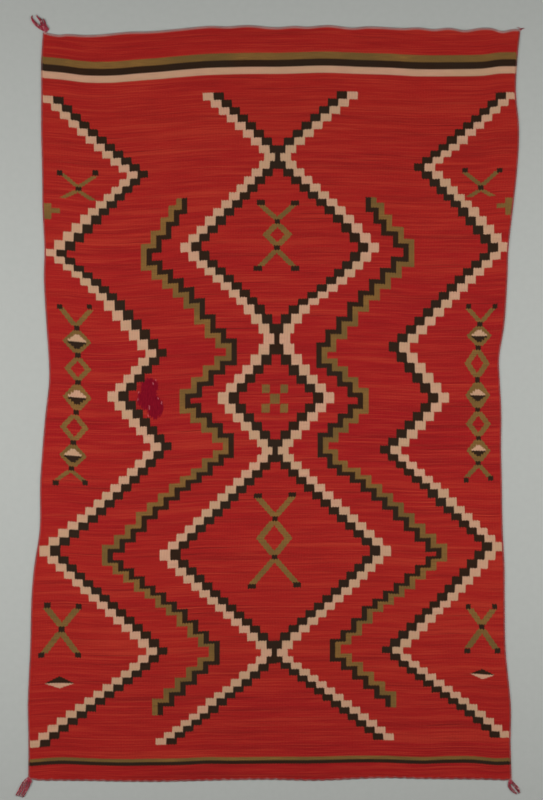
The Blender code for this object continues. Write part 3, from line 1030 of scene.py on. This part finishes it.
    def repaired(self, s: NodeSheet, ground: Socket, across: Socket, weft: Socket,
                 weave: Socket) -> Socket:
        """The darned patch: ragged lobes of a purer crimson, with a few pale flecks.

        Args:
            s: where the nodes are written.
            ground: the cloth's red.
            across: the place across, in pixels.
            weft: the height in the weave, in pixels.
            weave: the Weave map.

        Returns:
            The red with the patch.
        """
        ragged = s.noise(s.stretched(weave, (170.0, 120.0, 1.0)), 1.0, 3.0)
        lobes = []
        for middle, down, wide, tall in PATCH_LOBES:
            level = CHART.weft(middle, down)
            x = s.math("MULTIPLY", s.math("SUBTRACT", across, middle), 1 / wide)
            y = s.math("MULTIPLY", s.math("SUBTRACT", weft, level), 1 / tall)
            away = s.math("ADD", s.math("POWER", x, 2.0), s.math("POWER", y, 2.0))
            away = s.math("MULTIPLY_ADD", ragged, 1.5, away)
            lobes.append(s.spread(away, 1.6, 1.84, 1.0, 0.0))
        patch = s.any_of(lobes)
        darning = s.noise(s.stretched(weave, (420.0, 90.0, 1.0)), 1.0, 2.0)
        darned = s.mix(s.spread(darning, 0.35, 0.68, 0.0, 0.5), self.repair, self.darning)
        colour = s.mix(patch, ground, darned)
        flecks = s.any_of([
            s.block(across, weft, x - 0.5, CHART.weft(x, y) - tall / 2, x + 0.5,
                    CHART.weft(x, y) + tall / 2) for x, y, tall in PATCH_FLECKS])
        return s.mix(s.both(flecks, 0.45), colour, self.patch_fleck)

    def relief(self, s: NodeSheet, along_weft: Socket, along_warp: Socket,
               weave: Socket) -> tuple[Socket, Socket]:
        """The ribs of the warp and the round picks of weft that pass over and under them.

        Args:
            s: where the nodes are written.
            along_weft: the place along the weft, in metres.
            along_warp: the place along the warp, in metres.
            weave: the Weave map.

        Returns:
            The height, and how open to light each thread is, both from 0 to 1.
        """
        pick = s.math("MULTIPLY", along_warp, 1 / self.pick)
        parity = s.math("FRACT", s.math("MULTIPLY", s.math("FLOOR", pick), 0.5))
        ribs = s.math("ADD", s.math("MULTIPLY", along_weft, 1 / self.rib), parity)
        bead = s.math("ABSOLUTE", s.math("SINE", s.math("MULTIPLY", ribs, math.pi)))
        thread = s.math("ABSOLUTE", s.math("SINE", s.math("MULTIPLY", pick, math.pi)))
        warp = s.math("MULTIPLY", along_weft, 2 * math.pi / self.rib)
        rib = s.math("MULTIPLY_ADD", s.math("SINE", warp), 0.5, 0.5)
        woven = s.math("MULTIPLY_ADD", bead, 0.45, s.math("MULTIPLY", thread, 0.35))
        woven = s.math("MULTIPLY_ADD", rib, 0.2, woven)
        fuzz = s.noise(s.stretched(weave, (900.0, 2400.0, 1.0)), 1.0, 2.0)
        return s.math("MULTIPLY_ADD", fuzz, 0.25, woven), woven


@dataclass(frozen=True)
class Band:
    """A stripe's weft where it turns round a side cord: its top and bottom down the photograph."""

    top: float
    bottom: float
    dye: Colour


@dataclass(frozen=True)
class PliedWool:
    """A plied wool yarn: its colour, its flecks, the twist of its fibres, painted highlights on the tops of
    its plies and painted shade between its fibres.
    """

    name: str
    light: Colour
    deep: Colour
    fleck: Colour
    # The colour of the painted highlight on the tops of the plies.
    top_highlight: Colour
    fleck_share: float = 0.3
    fleck_pitch: float = 160.0
    # From this height up the plies get the painted highlight, at most to this share.
    highlight_from: float = 0.0021
    highlight_share: float = 0.6
    # How dark the painted shade is between the yarn's fibres.
    groove_shade: float = 0.8
    bands: tuple[Band, ...] = ()
    band_share: float = 0.85

    def material(self) -> bpy.types.Material:
        """Makes the yarn's material, which reads Object coordinates and its Yarn map.

        Returns:
            The new material.
        """
        material = bpy.data.materials.new(self.name)
        material.use_nodes = True
        s = NodeSheet(material)
        shader = material.node_tree.nodes["Principled BSDF"]
        body = s.node("ShaderNodeTexCoord").outputs["Object"]
        yarn = s.node("ShaderNodeUVMap", uv_map="Yarn").outputs[0]
        parts = s.node("ShaderNodeSeparateXYZ", {0: yarn})
        slant = s.math("MULTIPLY_ADD", parts.outputs[1], 700.0, s.math("MULTIPLY", parts.outputs[0], 4.0))
        fibre = s.math("MULTIPLY_ADD", s.math("SINE", s.math("MULTIPLY", slant, 2 * math.pi)), 0.5, 0.5)
        patchy = s.noise(body, 90.0, 3.0)
        fine = s.noise(body, 1400.0, 2.0)
        colour = s.mix(s.spread(patchy, 0.35, 0.65, 0.0, 1.0), self.deep, self.light)
        at = s.node("ShaderNodeSeparateXYZ", {0: body})
        height = at.outputs[2]
        # Painted highlight: the highest parts of the plies are made paler.
        top_highlight = s.spread(height, self.highlight_from, self.highlight_from + 0.0009, 0.0, self.highlight_share)
        colour = s.mix(top_highlight, colour, self.top_highlight)
        spots = s.noise(body, self.fleck_pitch, 2.0)
        limit = 0.66 - 0.2 * self.fleck_share
        colour = s.mix(s.spread(spots, limit, limit + 0.08, 0.0, 0.75), colour, self.fleck)
        for band in self.bands:
            _, (high, low) = place(np.zeros(2), np.array([band.top, band.bottom]))
            inside = s.between(at.outputs[1], float(low), float(high))
            colour = s.mix(s.math("MULTIPLY", inside, self.band_share), colour, band.dye)
        # Painted shade between the twisted fibres, over random tone.
        shade = s.spread(s.both(fibre, s.spread(fine, 0.3, 0.7, 0.6, 1.0)), 0.0, 0.8, self.groove_shade, 1.12)
        lit = s.node("ShaderNodeVectorMath", {0: colour, "Scale": shade}, operation="SCALE")
        material.node_tree.links.new(lit.outputs[0], shader.inputs["Base Color"])
        height = s.math("MULTIPLY_ADD", fine, 0.5, fibre)
        bump = s.node("ShaderNodeBump", {"Height": height, "Strength": 0.5, "Distance": 0.0003})
        material.node_tree.links.new(bump.outputs[0], shader.inputs["Normal"])
        material.node_tree.links.new(s.spread(fine, 0.3, 0.7, 0.82, 0.95), shader.inputs["Roughness"])
        shader.inputs["Specular IOR Level"].default_value = 0.2
        shader.inputs["Sheen Weight"].default_value = 0.2
        shader.inputs["Sheen Roughness"].default_value = 0.5
        return material


# A ply's radius as a share of the yarn's thickness, for each number of plies.
PLY_SHARE = {2: 0.29, 3: 0.235}


@dataclass
class Threads:
    """Round threads gathered for one mesh, with a map of round and along on each."""

    points: list = field(default_factory=list)
    faces: list = field(default_factory=list)
    loops: list = field(default_factory=list)

    def thread(self, centres: np.ndarray, first: np.ndarray, second: np.ndarray,
               radii: np.ndarray, sides: int) -> None:
        """Adds a closed thread.

        Args:
            centres: the places of its middle, one for each ring.
            first: at each ring, one direction across the thread.
            second: at each ring, the other direction across it.
            radii: the thread's radius at each ring.
            sides: how many sides it has.
        """
        start = len(self.points)
        turn = 2 * math.pi * np.arange(sides) / sides
        ring = (first[:, None] * np.cos(turn)[None, :, None]
                + second[:, None] * np.sin(turn)[None, :, None])
        points = centres[:, None] + ring * radii[:, None, None]
        self.points.extend(points.reshape(-1, 3).tolist())
        steps = np.linalg.norm(np.diff(centres, axis=0), axis=1)
        along = np.concatenate([[0.0], np.cumsum(steps)])
        for i in range(len(centres) - 1):
            a, b = start + i * sides, start + (i + 1) * sides
            for k in range(sides):
                n = (k + 1) % sides
                self.faces.append((a + k, a + n, b + n, b + k))
                low, high = k / sides, (k + 1) / sides
                self.loops += [(low, along[i]), (high, along[i]), (high, along[i + 1]), (low, along[i + 1])]
        for base, order in ((start, range(sides - 1, -1, -1)),
                            (start + (len(centres) - 1) * sides, range(sides))):
            self.faces.append(tuple(base + k for k in order))
            self.loops += [(0.0, 0.0)] * sides

    def plied(self, route: np.ndarray, thickness: np.ndarray, lay: float, plies: int = 2,
              sides: int = 6, phase: float = 0.0, breadth: float = 1.0) -> None:
        """Adds a yarn of plies twisted about each other along a level route.

        Args:
            route: the places of the yarn's middle.
            thickness: the whole yarn's thickness at each place.
            lay: the length of one full turn of the twist.
            plies: how many plies are twisted together.
            sides: how many sides each ply has.
            phase: where round the yarn its first ply starts, in radians.
            breadth: how much wider than round the twist lies.
        """
        ahead = np.gradient(route, axis=0)
        ahead /= np.maximum(np.linalg.norm(ahead, axis=1, keepdims=True), 1e-9)
        across = np.cross(np.array([0.0, 0.0, 1.0]), ahead)
        across /= np.maximum(np.linalg.norm(across, axis=1, keepdims=True), 1e-9)
        over = np.cross(ahead, across)
        steps = np.linalg.norm(np.diff(route, axis=0), axis=1)
        along = np.concatenate([[0.0], np.cumsum(steps)])
        ply_radius = thickness * PLY_SHARE[plies]
        orbit = thickness / 2 - ply_radius
        for ply in range(plies):
            angle = phase + 2 * math.pi * (along / lay + ply / plies)
            centre = (route + across * (orbit * np.cos(angle) * breadth)[:, None]
                      + over * (orbit * np.sin(angle))[:, None])
            self.thread(centre, across, over, ply_radius, sides)

    def mesh_object(self, name: str, material: bpy.types.Material) -> bpy.types.Object:
        """Makes the threads one piece.

        Args:
            name: the piece's name.
            material: its material.

        Returns:
            The new object, at the origin.
        """
        mesh = bpy.data.meshes.new(name)
        mesh.from_pydata(self.points, [], self.faces)
        yarn = mesh.uv_layers.new(name="Yarn")
        yarn.data.foreach_set("uv", np.asarray(self.loops, np.float32).ravel())
        mesh.materials.append(material)
        mesh.shade_smooth()
        mesh.update()
        made = bpy.data.objects.new(name, mesh)
        bpy.context.scene.collection.objects.link(made)
        return made


def deselect() -> None:
    """Leaves nothing selected."""
    bpy.ops.object.select_all(action="DESELECT")


@dataclass(frozen=True)
class WovenSheet:
    """The tapestry-woven body, a thin sheet that lies on the surface."""

    columns_per_rib: int = 2
    rows: int = 60
    rib_height: float = 0.00028
    tuck: float = 0.0006
    thickness: float = 0.0024
    cockle: float = 0.0012
    cockle_count: float = 14.0
    cockle_reach: float = 0.10
    roll: float = 0.0007

    def build(self) -> bpy.types.Object:
        """Makes the sheet from a grid that follows the charted outline.

        Returns:
            The closed sheet, with its Weave map.
        """
        deselect()
        bpy.ops.mesh.primitive_grid_add(
            x_subdivisions=CHART.ribs * self.columns_per_rib, y_subdivisions=self.rows, size=1.0,
            calc_uvs=True)
        made = bpy.context.object
        made.name = "woven_sheet"
        mesh = made.data
        points = np.empty(len(mesh.vertices) * 3, np.float32)
        mesh.vertices.foreach_get("co", points)
        points = points.reshape(-1, 3).astype(float)
        u, v = points[:, 0] + 0.5, 0.5 - points[:, 1]
        across, down = CHART.sheet_pixels(u, v)
        scallop = np.abs(np.sin(math.pi * across / CHART.scallop_pitch))
        down = down - scallop_px(scallop) * np.clip((v - 0.985) / 0.015, 0, 1)
        x, y = place(across, down)
        points[:, 0] = x + self.tuck * (np.where(u > 0.9999, 1, 0) - np.where(u < 0.0001, 1, 0))
        points[:, 1] = y + self.tuck * (np.where(v < 0.0001, 1, 0) - np.where(v > 0.9999, 1, 0))
        points[:, 2] = self.thickness + self.lift(u, v)
        mesh.vertices.foreach_set("co", points.astype(np.float32).ravel())
        self.map_weave(mesh, u, v, across, down)
        thick = made.modifiers.new("Thickness", "SOLIDIFY")
        thick.thickness = self.thickness
        thick.offset = -1.0
        bpy.ops.object.modifier_apply(modifier=thick.name)
        bpy.ops.object.shade_smooth_by_angle(angle=math.radians(50))
        return made

    def lift(self, u: np.ndarray, v: np.ndarray) -> np.ndarray:
        """How far the sheet rises off the surface: cockles at its top end, and slow rolls.

        Args:
            u: share of the width, from the left.
            v: share of the length, from the top.

        Returns:
            The rise at each place, in metres.
        """
        end_share = np.clip(1 - v / self.cockle_reach, 0, 1)
        cockles = 0.5 + 0.5 * np.sin(2 * math.pi * (self.cockle_count * u + 0.15))
        rolls = 0.5 + 0.25 * np.sin(2 * math.pi * (1.3 * u + 2.1 * v))
        rolls += 0.25 * np.sin(2 * math.pi * (3.1 * v - 0.7 * u + 0.3))
        edge = np.clip(np.minimum(np.minimum(u, 1 - u) / 0.03, np.minimum(v, 1 - v) / 0.02), 0, 1)
        ribs = self.rib_height * 0.5 * np.cos(2 * math.pi * CHART.ribs * u)
        return self.cockle * end_share ** 2 * cockles + self.roll * rolls * edge + ribs

    def map_weave(self, mesh: bpy.types.Mesh, u: np.ndarray, v: np.ndarray, across: np.ndarray,
                  down: np.ndarray) -> None:
        """Gives the sheet its Weave map, in metres across and down, and its Ends map.

        Args:
            mesh: the sheet's mesh.
            u: each point's share of the width.
            v: each point's share of the length.
            across: each point's place across, in pixels.
            down: each point's place down, in pixels.
        """
        layer = mesh.uv_layers[0]
        layer.name = "Weave"
        corner = np.empty(len(mesh.loops), np.int32)
        mesh.loops.foreach_get("vertex_index", corner)
        woven = np.stack([u * CHART.width, (down - CHART.wave(across, down)) * CHART.pixel], 1)
        layer.data.foreach_set("uv", woven[corner].astype(np.float32).ravel())
        ends = mesh.uv_layers.new(name="Ends")
        far = np.stack([v, 1 - v], 1) * CHART.body_length
        ends.data.foreach_set("uv", far[corner].astype(np.float32).ravel())

    def dress(self, made: bpy.types.Object) -> None:
        """Args:
            made: the sheet.
        """
        made.data.materials.clear()
        made.data.materials.append(WoolCloth().material())
        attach(made, "root")
        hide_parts("serape_cloth")


def scallop_px(share: np.ndarray) -> np.ndarray:
    """How far the bottom end is drawn up between its ties, in pixels."""
    return CHART.scallop_depth * (1 - share)


OLIVE_BAND, DARK_BAND, PALE_BAND = linear(124, 90, 47), linear(50, 30, 18), linear(204, 154, 126)
# Each yarn below gets a painted highlight on its plies' tops and painted shade between its fibres.
LEFT_WOOL = PliedWool("Left cord wool", linear(176, 44, 42), linear(92, 16, 18), linear(190, 110, 104),
                      top_highlight=linear(204, 82, 76), highlight_from=0.0024, highlight_share=0.8, bands=(
                          Band(57.3, 63.2, OLIVE_BAND), Band(63.2, 70.6, DARK_BAND),
                          Band(70.6, 77.8, PALE_BAND), Band(760.2, 762.4, OLIVE_BAND),
                          Band(762.4, 765.4, DARK_BAND)))
RIGHT_WOOL = replace(LEFT_WOOL, name="Right cord wool", bands=(
    Band(55.6, 60.5, OLIVE_BAND), Band(60.5, 66.4, DARK_BAND), Band(66.4, 73.2, PALE_BAND),
    Band(758.0, 761.5, OLIVE_BAND), Band(761.5, 764.2, DARK_BAND)))
END_WOOL = PliedWool("Top cord wool", linear(176, 78, 74), linear(96, 32, 32),
                     linear(216, 168, 160), top_highlight=linear(226, 168, 160), highlight_from=0.0024,
                     highlight_share=0.85, fleck_share=0.4)
LOW_WOOL = PliedWool("Bottom cord wool", linear(172, 46, 44), linear(104, 20, 22),
                     linear(204, 140, 132), top_highlight=linear(204, 104, 96), highlight_from=0.0026,
                     fleck_share=0.4)
TASSEL_WOOL = PliedWool("Tassel wool", linear(192, 50, 74), linear(140, 22, 44),
                        linear(230, 180, 176), top_highlight=linear(206, 84, 102), fleck_share=0.5,
                        fleck_pitch=190.0, highlight_from=0.0042, highlight_share=0.4, groove_shade=0.55)


@dataclass(frozen=True)
class TwinedCord:
    """A cord of two plies along one edge, twined round the edge threads."""

    name: str
    node: str
    lay: float
    finish: PliedWool
    end: Optional[End] = None
    side: Optional[Side] = None
    thickness: float = 0.0036
    breadth: float = 2.1
    gap: float = 0.0006
    clear: float = 0.0002
    steps_per_turn: int = 11

    def route(self) -> np.ndarray:
        """The places of the cord's middle, a few to each turn of its twist.

        Returns:
            A row of X, Y and Z for each place.
        """
        length = CHART.width if self.end else CHART.body_length
        count = int(length / self.lay * self.steps_per_turn)
        share = np.linspace(0, 1, count)
        step = self.thickness / 2 + self.gap
        if self.end:
            u, v = share, np.full(count, self.end.value)
        else:
            u, v = np.full(count, self.side.value), share
        across, down = CHART.sheet_pixels(u, v)
        if self.end is End.BOTTOM:
            down = down - scallop_px(np.abs(np.sin(math.pi * across / CHART.scallop_pitch)))
        x, y = place(across, down)
        if self.end:
            y = y + (step if self.end is End.TOP else -step)
            past = self.thickness + self.gap
            x = x + np.interp(share, [0, 0.004, 0.996, 1], [-past, 0, 0, past])
        else:
            x = x + (step if self.side is Side.RIGHT else -step)
        return np.stack([x, y, np.full(count, self.thickness / 2 + self.clear)], 1)

    def build(self) -> bpy.types.Object:
        """Makes the cord.

        Returns:
            The cord, at the origin.
        """
        route = self.route()
        swell = 1 + 0.06 * np.sin(np.arange(len(route)) * 0.021) * np.cos(np.arange(len(route)) * 0.0083)
        threads = Threads()
        threads.plied(route, self.thickness * swell, self.lay, breadth=self.breadth)
        return threads.mesh_object(self.name, self.finish.material())

    def dress(self, made: bpy.types.Object) -> None:
        """Args:
            made: the cord.
        """
        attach(made, "root")
        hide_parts(self.node)


@dataclass(frozen=True)
class Yarn:
    """One yarn of a tassel, in millimetres right of and above the corner."""

    thickness: float
    route: tuple[tuple[float, float], ...]


@dataclass(frozen=True)
class CornerTassel:
    """The cords' ends, knotted at a corner, with their plied yarns loose beyond."""

    name: str
    node: str
    end: End
    side: Side
    knot: tuple[float, float, float, float]
    yarns: tuple[Yarn, ...]
    wraps: int = 3
    seed: int = 1
    lay: float = 0.011
    fray: int = 7
    fray_length: float = 0.006
    fibre_radius: float = 0.00016

    def corner(self) -> np.ndarray:
        """The outer corner of the cords.

        Returns:
            Its place on the surface.
        """
        across, down = CHART.sheet_pixels(np.array([self.side.value]), np.array([self.end.value]))
        x, y = place(across, down)
        past = CHART.cord_room
        return np.array([
            x[0] + (past if self.side is Side.RIGHT else -past),
            y[0] + (past if self.end is End.TOP else -past),
            0.0,
        ])

    def yarn_route(self, yarn: Yarn, corner: np.ndarray) -> np.ndarray:
        """A smooth level route through a yarn's points.

        Args:
            yarn: the yarn.
            corner: the corner that its points are measured from.

        Returns:
            A row of X, Y and Z for each place.
        """
        points = np.array(yarn.route) / 1000
        steps = np.concatenate([[0.0], np.cumsum(np.linalg.norm(np.diff(points, axis=0), axis=1))])
        at = np.linspace(0, steps[-1], max(int(steps[-1] / 0.0009), 8))
        x = smooth_curve(steps, points[:, 0], at)
        y = smooth_curve(steps, points[:, 1], at)
        z = np.full(len(at), yarn.thickness / 2000)
        return np.stack([corner[0] + x, corner[1] + y, z], 1)

    def build(self) -> bpy.types.Object:
        """Makes the wraps of the knot, the yarns and the frayed fibres at their tips.

        Returns:
            The tassel, at the origin.
        """
        threads = Threads()
        chance = random.Random(self.seed)
        corner = self.corner()
        for number, yarn in enumerate(self.yarns):
            route = self.yarn_route(yarn, corner)
            share = np.linspace(0, 1, len(route))
            wide = yarn.thickness / 1000 * (1 - 0.3 * share ** 4)
            threads.plied(route, wide, self.lay, plies=3, phase=number * 1.3)
            self.frayed(threads, route, chance)
        self.knotted(threads, corner)
        return threads.mesh_object(self.name, TASSEL_WOOL.material())

    def knotted(self, threads: Threads, corner: np.ndarray) -> None:
        """Winds the knot's wraps round the yarns.

        Args:
            threads: where the wraps are added.
            corner: the outer corner of the cords.
        """
        right, up, radius, height = (x / 1000 for x in self.knot)
        centre = corner + np.array([right, up, height / 2])
        outward = np.mean([np.array(y.route[-1]) for y in self.yarns], axis=0)
        outward = np.array([*outward, 0.0]) / np.linalg.norm(outward)
        across = np.cross([0.0, 0.0, 1.0], outward)
        strand = radius * 1.5 / self.wraps
        turn = np.linspace(0, 2 * math.pi, 40)
        for k in range(self.wraps):
            shift = (k - (self.wraps - 1) / 2) * strand * 0.92
            lean = np.sin(turn) * strand * 0.45
            wide = radius - strand / 2 - 0.12 * radius * abs(k - (self.wraps - 1) / 2)
            ring = (centre + outward * (shift + lean)[:, None]
                    + across * (np.cos(turn) * wide)[:, None]
                    + np.array([0, 0, 1.0]) * (np.sin(turn) * (height / 2 - strand / 2))[:, None])
            self.wrap(threads, ring, strand, k)

    def wrap(self, threads: Threads, ring: np.ndarray, strand: float, number: int) -> None:
        """Adds one wrap, a thick yarn bent into a ring.

        Args:
            threads: where it is added.
            ring: the places of its middle.
            strand: the yarn's thickness.
            number: which wrap it is.
        """
        ahead = np.gradient(ring, axis=0)
        ahead /= np.linalg.norm(ahead, axis=1, keepdims=True)
        middle = ring.mean(axis=0)
        outward = ring - middle
        outward -= ahead * np.sum(outward * ahead, axis=1, keepdims=True)
        outward /= np.linalg.norm(outward, axis=1, keepdims=True)
        side = np.cross(ahead, outward)
        along = np.linspace(0, 2 * math.pi, len(ring))
        for ply in range(2):
            angle = 3 * along + math.pi * ply + number
            twist = outward * np.cos(angle)[:, None] + side * np.sin(angle)[:, None]
            centre = ring + twist * strand * 0.2
            threads.thread(centre, outward, side, np.full(len(ring), strand * 0.33), 7)

    def frayed(self, threads: Threads, route: np.ndarray, chance: random.Random) -> None:
        """Adds fine fibres that spread from a yarn's tip.

        Args:
            threads: where they are added.
            route: the yarn's middle.
            chance: the tassel's random draws.
        """
        tip = route[-1]
        ahead = route[-1] - route[-4]
        ahead /= np.linalg.norm(ahead)
        across = np.array([-ahead[1], ahead[0], 0.0])
        for _ in range(self.fray):
            lean = chance.uniform(-0.6, 0.6)
            length = self.fray_length * chance.uniform(0.4, 1.0)
            curl = chance.uniform(-0.5, 0.5)
            start = tip - ahead * 0.0015 + across * chance.uniform(-0.001, 0.001)
            t = np.linspace(0, 1, 6)[:, None]
            line = start + ahead * length * t + across * (lean * t + curl * t * t) * length
            line[:, 2] = np.maximum(line[:, 2] * (1 - 0.6 * t[:, 0]), 0.0004)
            first = np.tile(across, (6, 1))
            second = np.tile([0.0, 0.0, 1.0], (6, 1))
            radii = self.fibre_radius * (1 - 0.7 * t[:, 0])
            threads.thread(line, first, second, radii, 3)

    def dress(self, made: bpy.types.Object) -> None:
        """Args:
            made: the tassel.
        """
        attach(made, "root")
        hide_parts(self.node)


TASSELS = (
    CornerTassel(
        "knotted_tassel_top_left", "tassel_top_left", End.TOP, Side.LEFT, (6.0, 6.6, 7.4, 7.4),
        (
            Yarn(5.0, ((11.4, 7.0), (9.2, 14.0), (5.6, 21.0), (4.0, 27.0), (0.2, 33.6))),
            Yarn(5.4, ((7.0, 7.0), (3.6, 15.0), (-1.4, 23.4), (-4.4, 30.4), (-10.2, 37.0))),
            Yarn(4.6, ((3.4, 8.0), (-1.2, 15.4), (-5.8, 22.0), (-7.4, 29.6), (-12.6, 36.6), (-17.4, 43.4))),
            Yarn(4.8, ((2.0, 4.6), (-7.6, 9.4), (-17.6, 17.0), (-25.4, 26.0), (-29.6, 35.4),
                       (-29.0, 42.0))),
            Yarn(4.4, ((2.6, 7.4), (-5.4, 13.2), (-14.6, 20.4), (-22.2, 28.0), (-27.0, 34.6))),
            Yarn(4.8, ((12.4, 8.4), (5.0, 12.2), (-3.0, 15.2), (-8.8, 15.6))),
            Yarn(3.8, ((9.0, 2.4), (13.4, 7.4), (11.4, 13.6))),
        ),
        seed=11,
    ),
    CornerTassel(
        "cord_stub_top_right", "tassel_top_right", End.TOP, Side.RIGHT, (2.3, 1.5, 2.4, 3.8),
        (
            Yarn(2.4, ((3.4, 2.4), (6.4, 3.8), (9.8, 4.4))),
            Yarn(2.2, ((1.4, 2.6), (-1.4, 5.0), (-6.2, 6.2))),
        ),
        wraps=2, seed=12, fray=6, fray_length=0.005,
    ),
    CornerTassel(
        "knotted_tassel_bottom_left", "tassel_bottom_left", End.BOTTOM, Side.LEFT,
        (-0.6, -3.4, 6.6, 5.0),
        (
            Yarn(5.0, ((-5.0, -1.6), (-12.8, -9.2), (-20.4, -21.2), (-26.6, -33.4), (-32.2, -43.4))),
            Yarn(5.2, ((-1.6, -3.4), (-9.4, -13.0), (-15.2, -24.8), (-21.4, -35.6), (-27.0, -45.0))),
            Yarn(4.9, ((3.0, -4.6), (-3.8, -16.2), (-9.4, -27.4), (-15.2, -37.8), (-20.0, -46.2))),
            Yarn(5.1, ((7.6, -5.0), (2.4, -16.6), (-4.0, -27.8), (-9.4, -38.4), (-15.0, -48.0))),
        ),
        seed=13, fray=9,
    ),
    CornerTassel(
        "knotted_tassel_bottom_right", "tassel_bottom_right", End.BOTTOM, Side.RIGHT,
        (-1.6, -3.6, 6.2, 5.4),
        (
            Yarn(3.8, ((-5.4, -3.4), (-6.8, -12.2), (-3.4, -21.0), (4.0, -28.8), (12.0, -34.0))),
            Yarn(3.6, ((-3.0, -4.8), (-2.4, -13.0), (1.8, -20.8), (7.8, -27.2), (14.6, -33.4))),
            Yarn(3.8, ((0.4, -4.6), (5.4, -12.0), (11.4, -19.6), (16.8, -26.6), (20.6, -33.0))),
            Yarn(4.0, ((2.2, -2.8), (9.4, -9.6), (15.6, -17.0), (19.8, -24.4), (21.8, -31.2))),
        ),
        seed=14,
    ),
)

CORDS = (
    TwinedCord("end_cord_top_twined", "end_cord_top", 0.0134, END_WOOL, end=End.TOP),
    TwinedCord("end_cord_bottom_twined", "end_cord_bottom", 0.0134, LOW_WOOL, end=End.BOTTOM),
    TwinedCord("side_cord_left_twined", "side_cord_left", 0.0134, LEFT_WOOL, side=Side.LEFT),
    TwinedCord("side_cord_right_twined", "side_cord_right", 0.0134, RIGHT_WOOL, side=Side.RIGHT),
)


@dataclass(frozen=True)
class Studio:
    """A plain pale floor, soft lights at both sides, and the camera straight above."""

    floor_size: float = 9.0
    floor_down: float = 0.0004
    floor_grey: Colour = linear(180, 182, 177)
    camera_height: float = 6.0
    sensor: float = 36.0
    frame_wide: int = 543
    frame_tall: int = 800
    light_away: float = 1.85
    light_up: float = 1.75
    light_size: float = 1.2
    left_power: float = 31.0
    right_power: float = 27.5
    top_power: float = 14.0
    top_spot: tuple[float, float, float] = (-0.15, 0.1, 2.4)
    top_size: float = 0.9
    sky: float = 0.13

    def floor(self) -> None:
        """The floor, which is no part of the serape."""
        deselect()
        bpy.ops.mesh.primitive_plane_add(size=self.floor_size, location=(0, 0, -self.floor_down))
        made = bpy.context.object
        made.name = "studio_floor"
        material = bpy.data.materials.new("Pale paper")
        material.use_nodes = True
        s = NodeSheet(material)
        shader = material.node_tree.nodes["Principled BSDF"]
        grain = s.noise(s.node("ShaderNodeTexCoord").outputs["Object"], 60.0, 3.0)
        lighter = tuple(min(1.0, c * 1.03) for c in self.floor_grey)
        colour = s.mix(s.spread(grain, 0.3, 0.7, 0.0, 1.0), self.floor_grey, lighter)
        material.node_tree.links.new(colour, shader.inputs["Base Color"])
        shader.inputs["Roughness"].default_value = 0.95
        shader.inputs["Specular IOR Level"].default_value = 0.1
        made.data.materials.append(material)

    def lamp(self, name: str, spot: tuple[float, float, float], power: float, size: float) -> None:
        """A soft square light that looks at the middle of the cloth.

        Args:
            name: the light's name.
            spot: where it hangs.
            power: its power, in watts.
            size: the length of its side.
        """
        deselect()
        bpy.ops.object.light_add(type="AREA", location=spot)
        made = bpy.context.object
        made.name = name
        made.data.energy = power
        made.data.size = size
        aim = Vector((0.0, 0.0, 0.0)) - Vector(spot)
        made.rotation_euler = aim.to_track_quat("-Z", "Y").to_euler()

    def lights(self) -> None:
        """A soft light at each long side, one overhead, and a pale sky."""
        for name, side, power in (
            ("light_left", -1, self.left_power), ("light_right", 1, self.right_power),
        ):
            self.lamp(name, (side * self.light_away, 0.0, self.light_up), power, self.light_size)
        self.lamp("light_over", self.top_spot, self.top_power, self.top_size)
        world = bpy.data.worlds.new("Pale sky")
        world.use_nodes = True
        back = world.node_tree.nodes["Background"]
        back.inputs["Color"].default_value = (0.93, 0.97, 1.0, 1.0)
        back.inputs["Strength"].default_value = self.sky
        bpy.context.scene.world = world
        bpy.context.scene.view_settings.view_transform = "Standard"

    def camera(self) -> None:
        """The camera, which frames the photograph's whole picture."""
        deselect()
        x, y = place(np.array(self.frame_wide / 2), np.array(self.frame_tall / 2))
        bpy.ops.object.camera_add(location=(float(x), float(y), self.camera_height), rotation=(0, 0, 0))
        made = bpy.context.object
        made.data.sensor_width = self.sensor
        made.data.lens = self.sensor * self.camera_height / (self.frame_tall * CHART.pixel)
        bpy.context.scene.camera = made


def main() -> None:
    """Builds the serape and the studio."""
    studio = Studio()
    studio.camera()
    sheet = WovenSheet()
    piece = sheet.build()
    sheet.dress(piece)
    log.info("%s: %d faces", piece.name, len(piece.data.polygons))
    for part in (*CORDS, *TASSELS):
        piece = part.build()
        part.dress(piece)
        log.info("%s: %d faces", piece.name, len(piece.data.polygons))
    studio.floor()
    studio.lights()


if __name__ == "__main__":
    main()
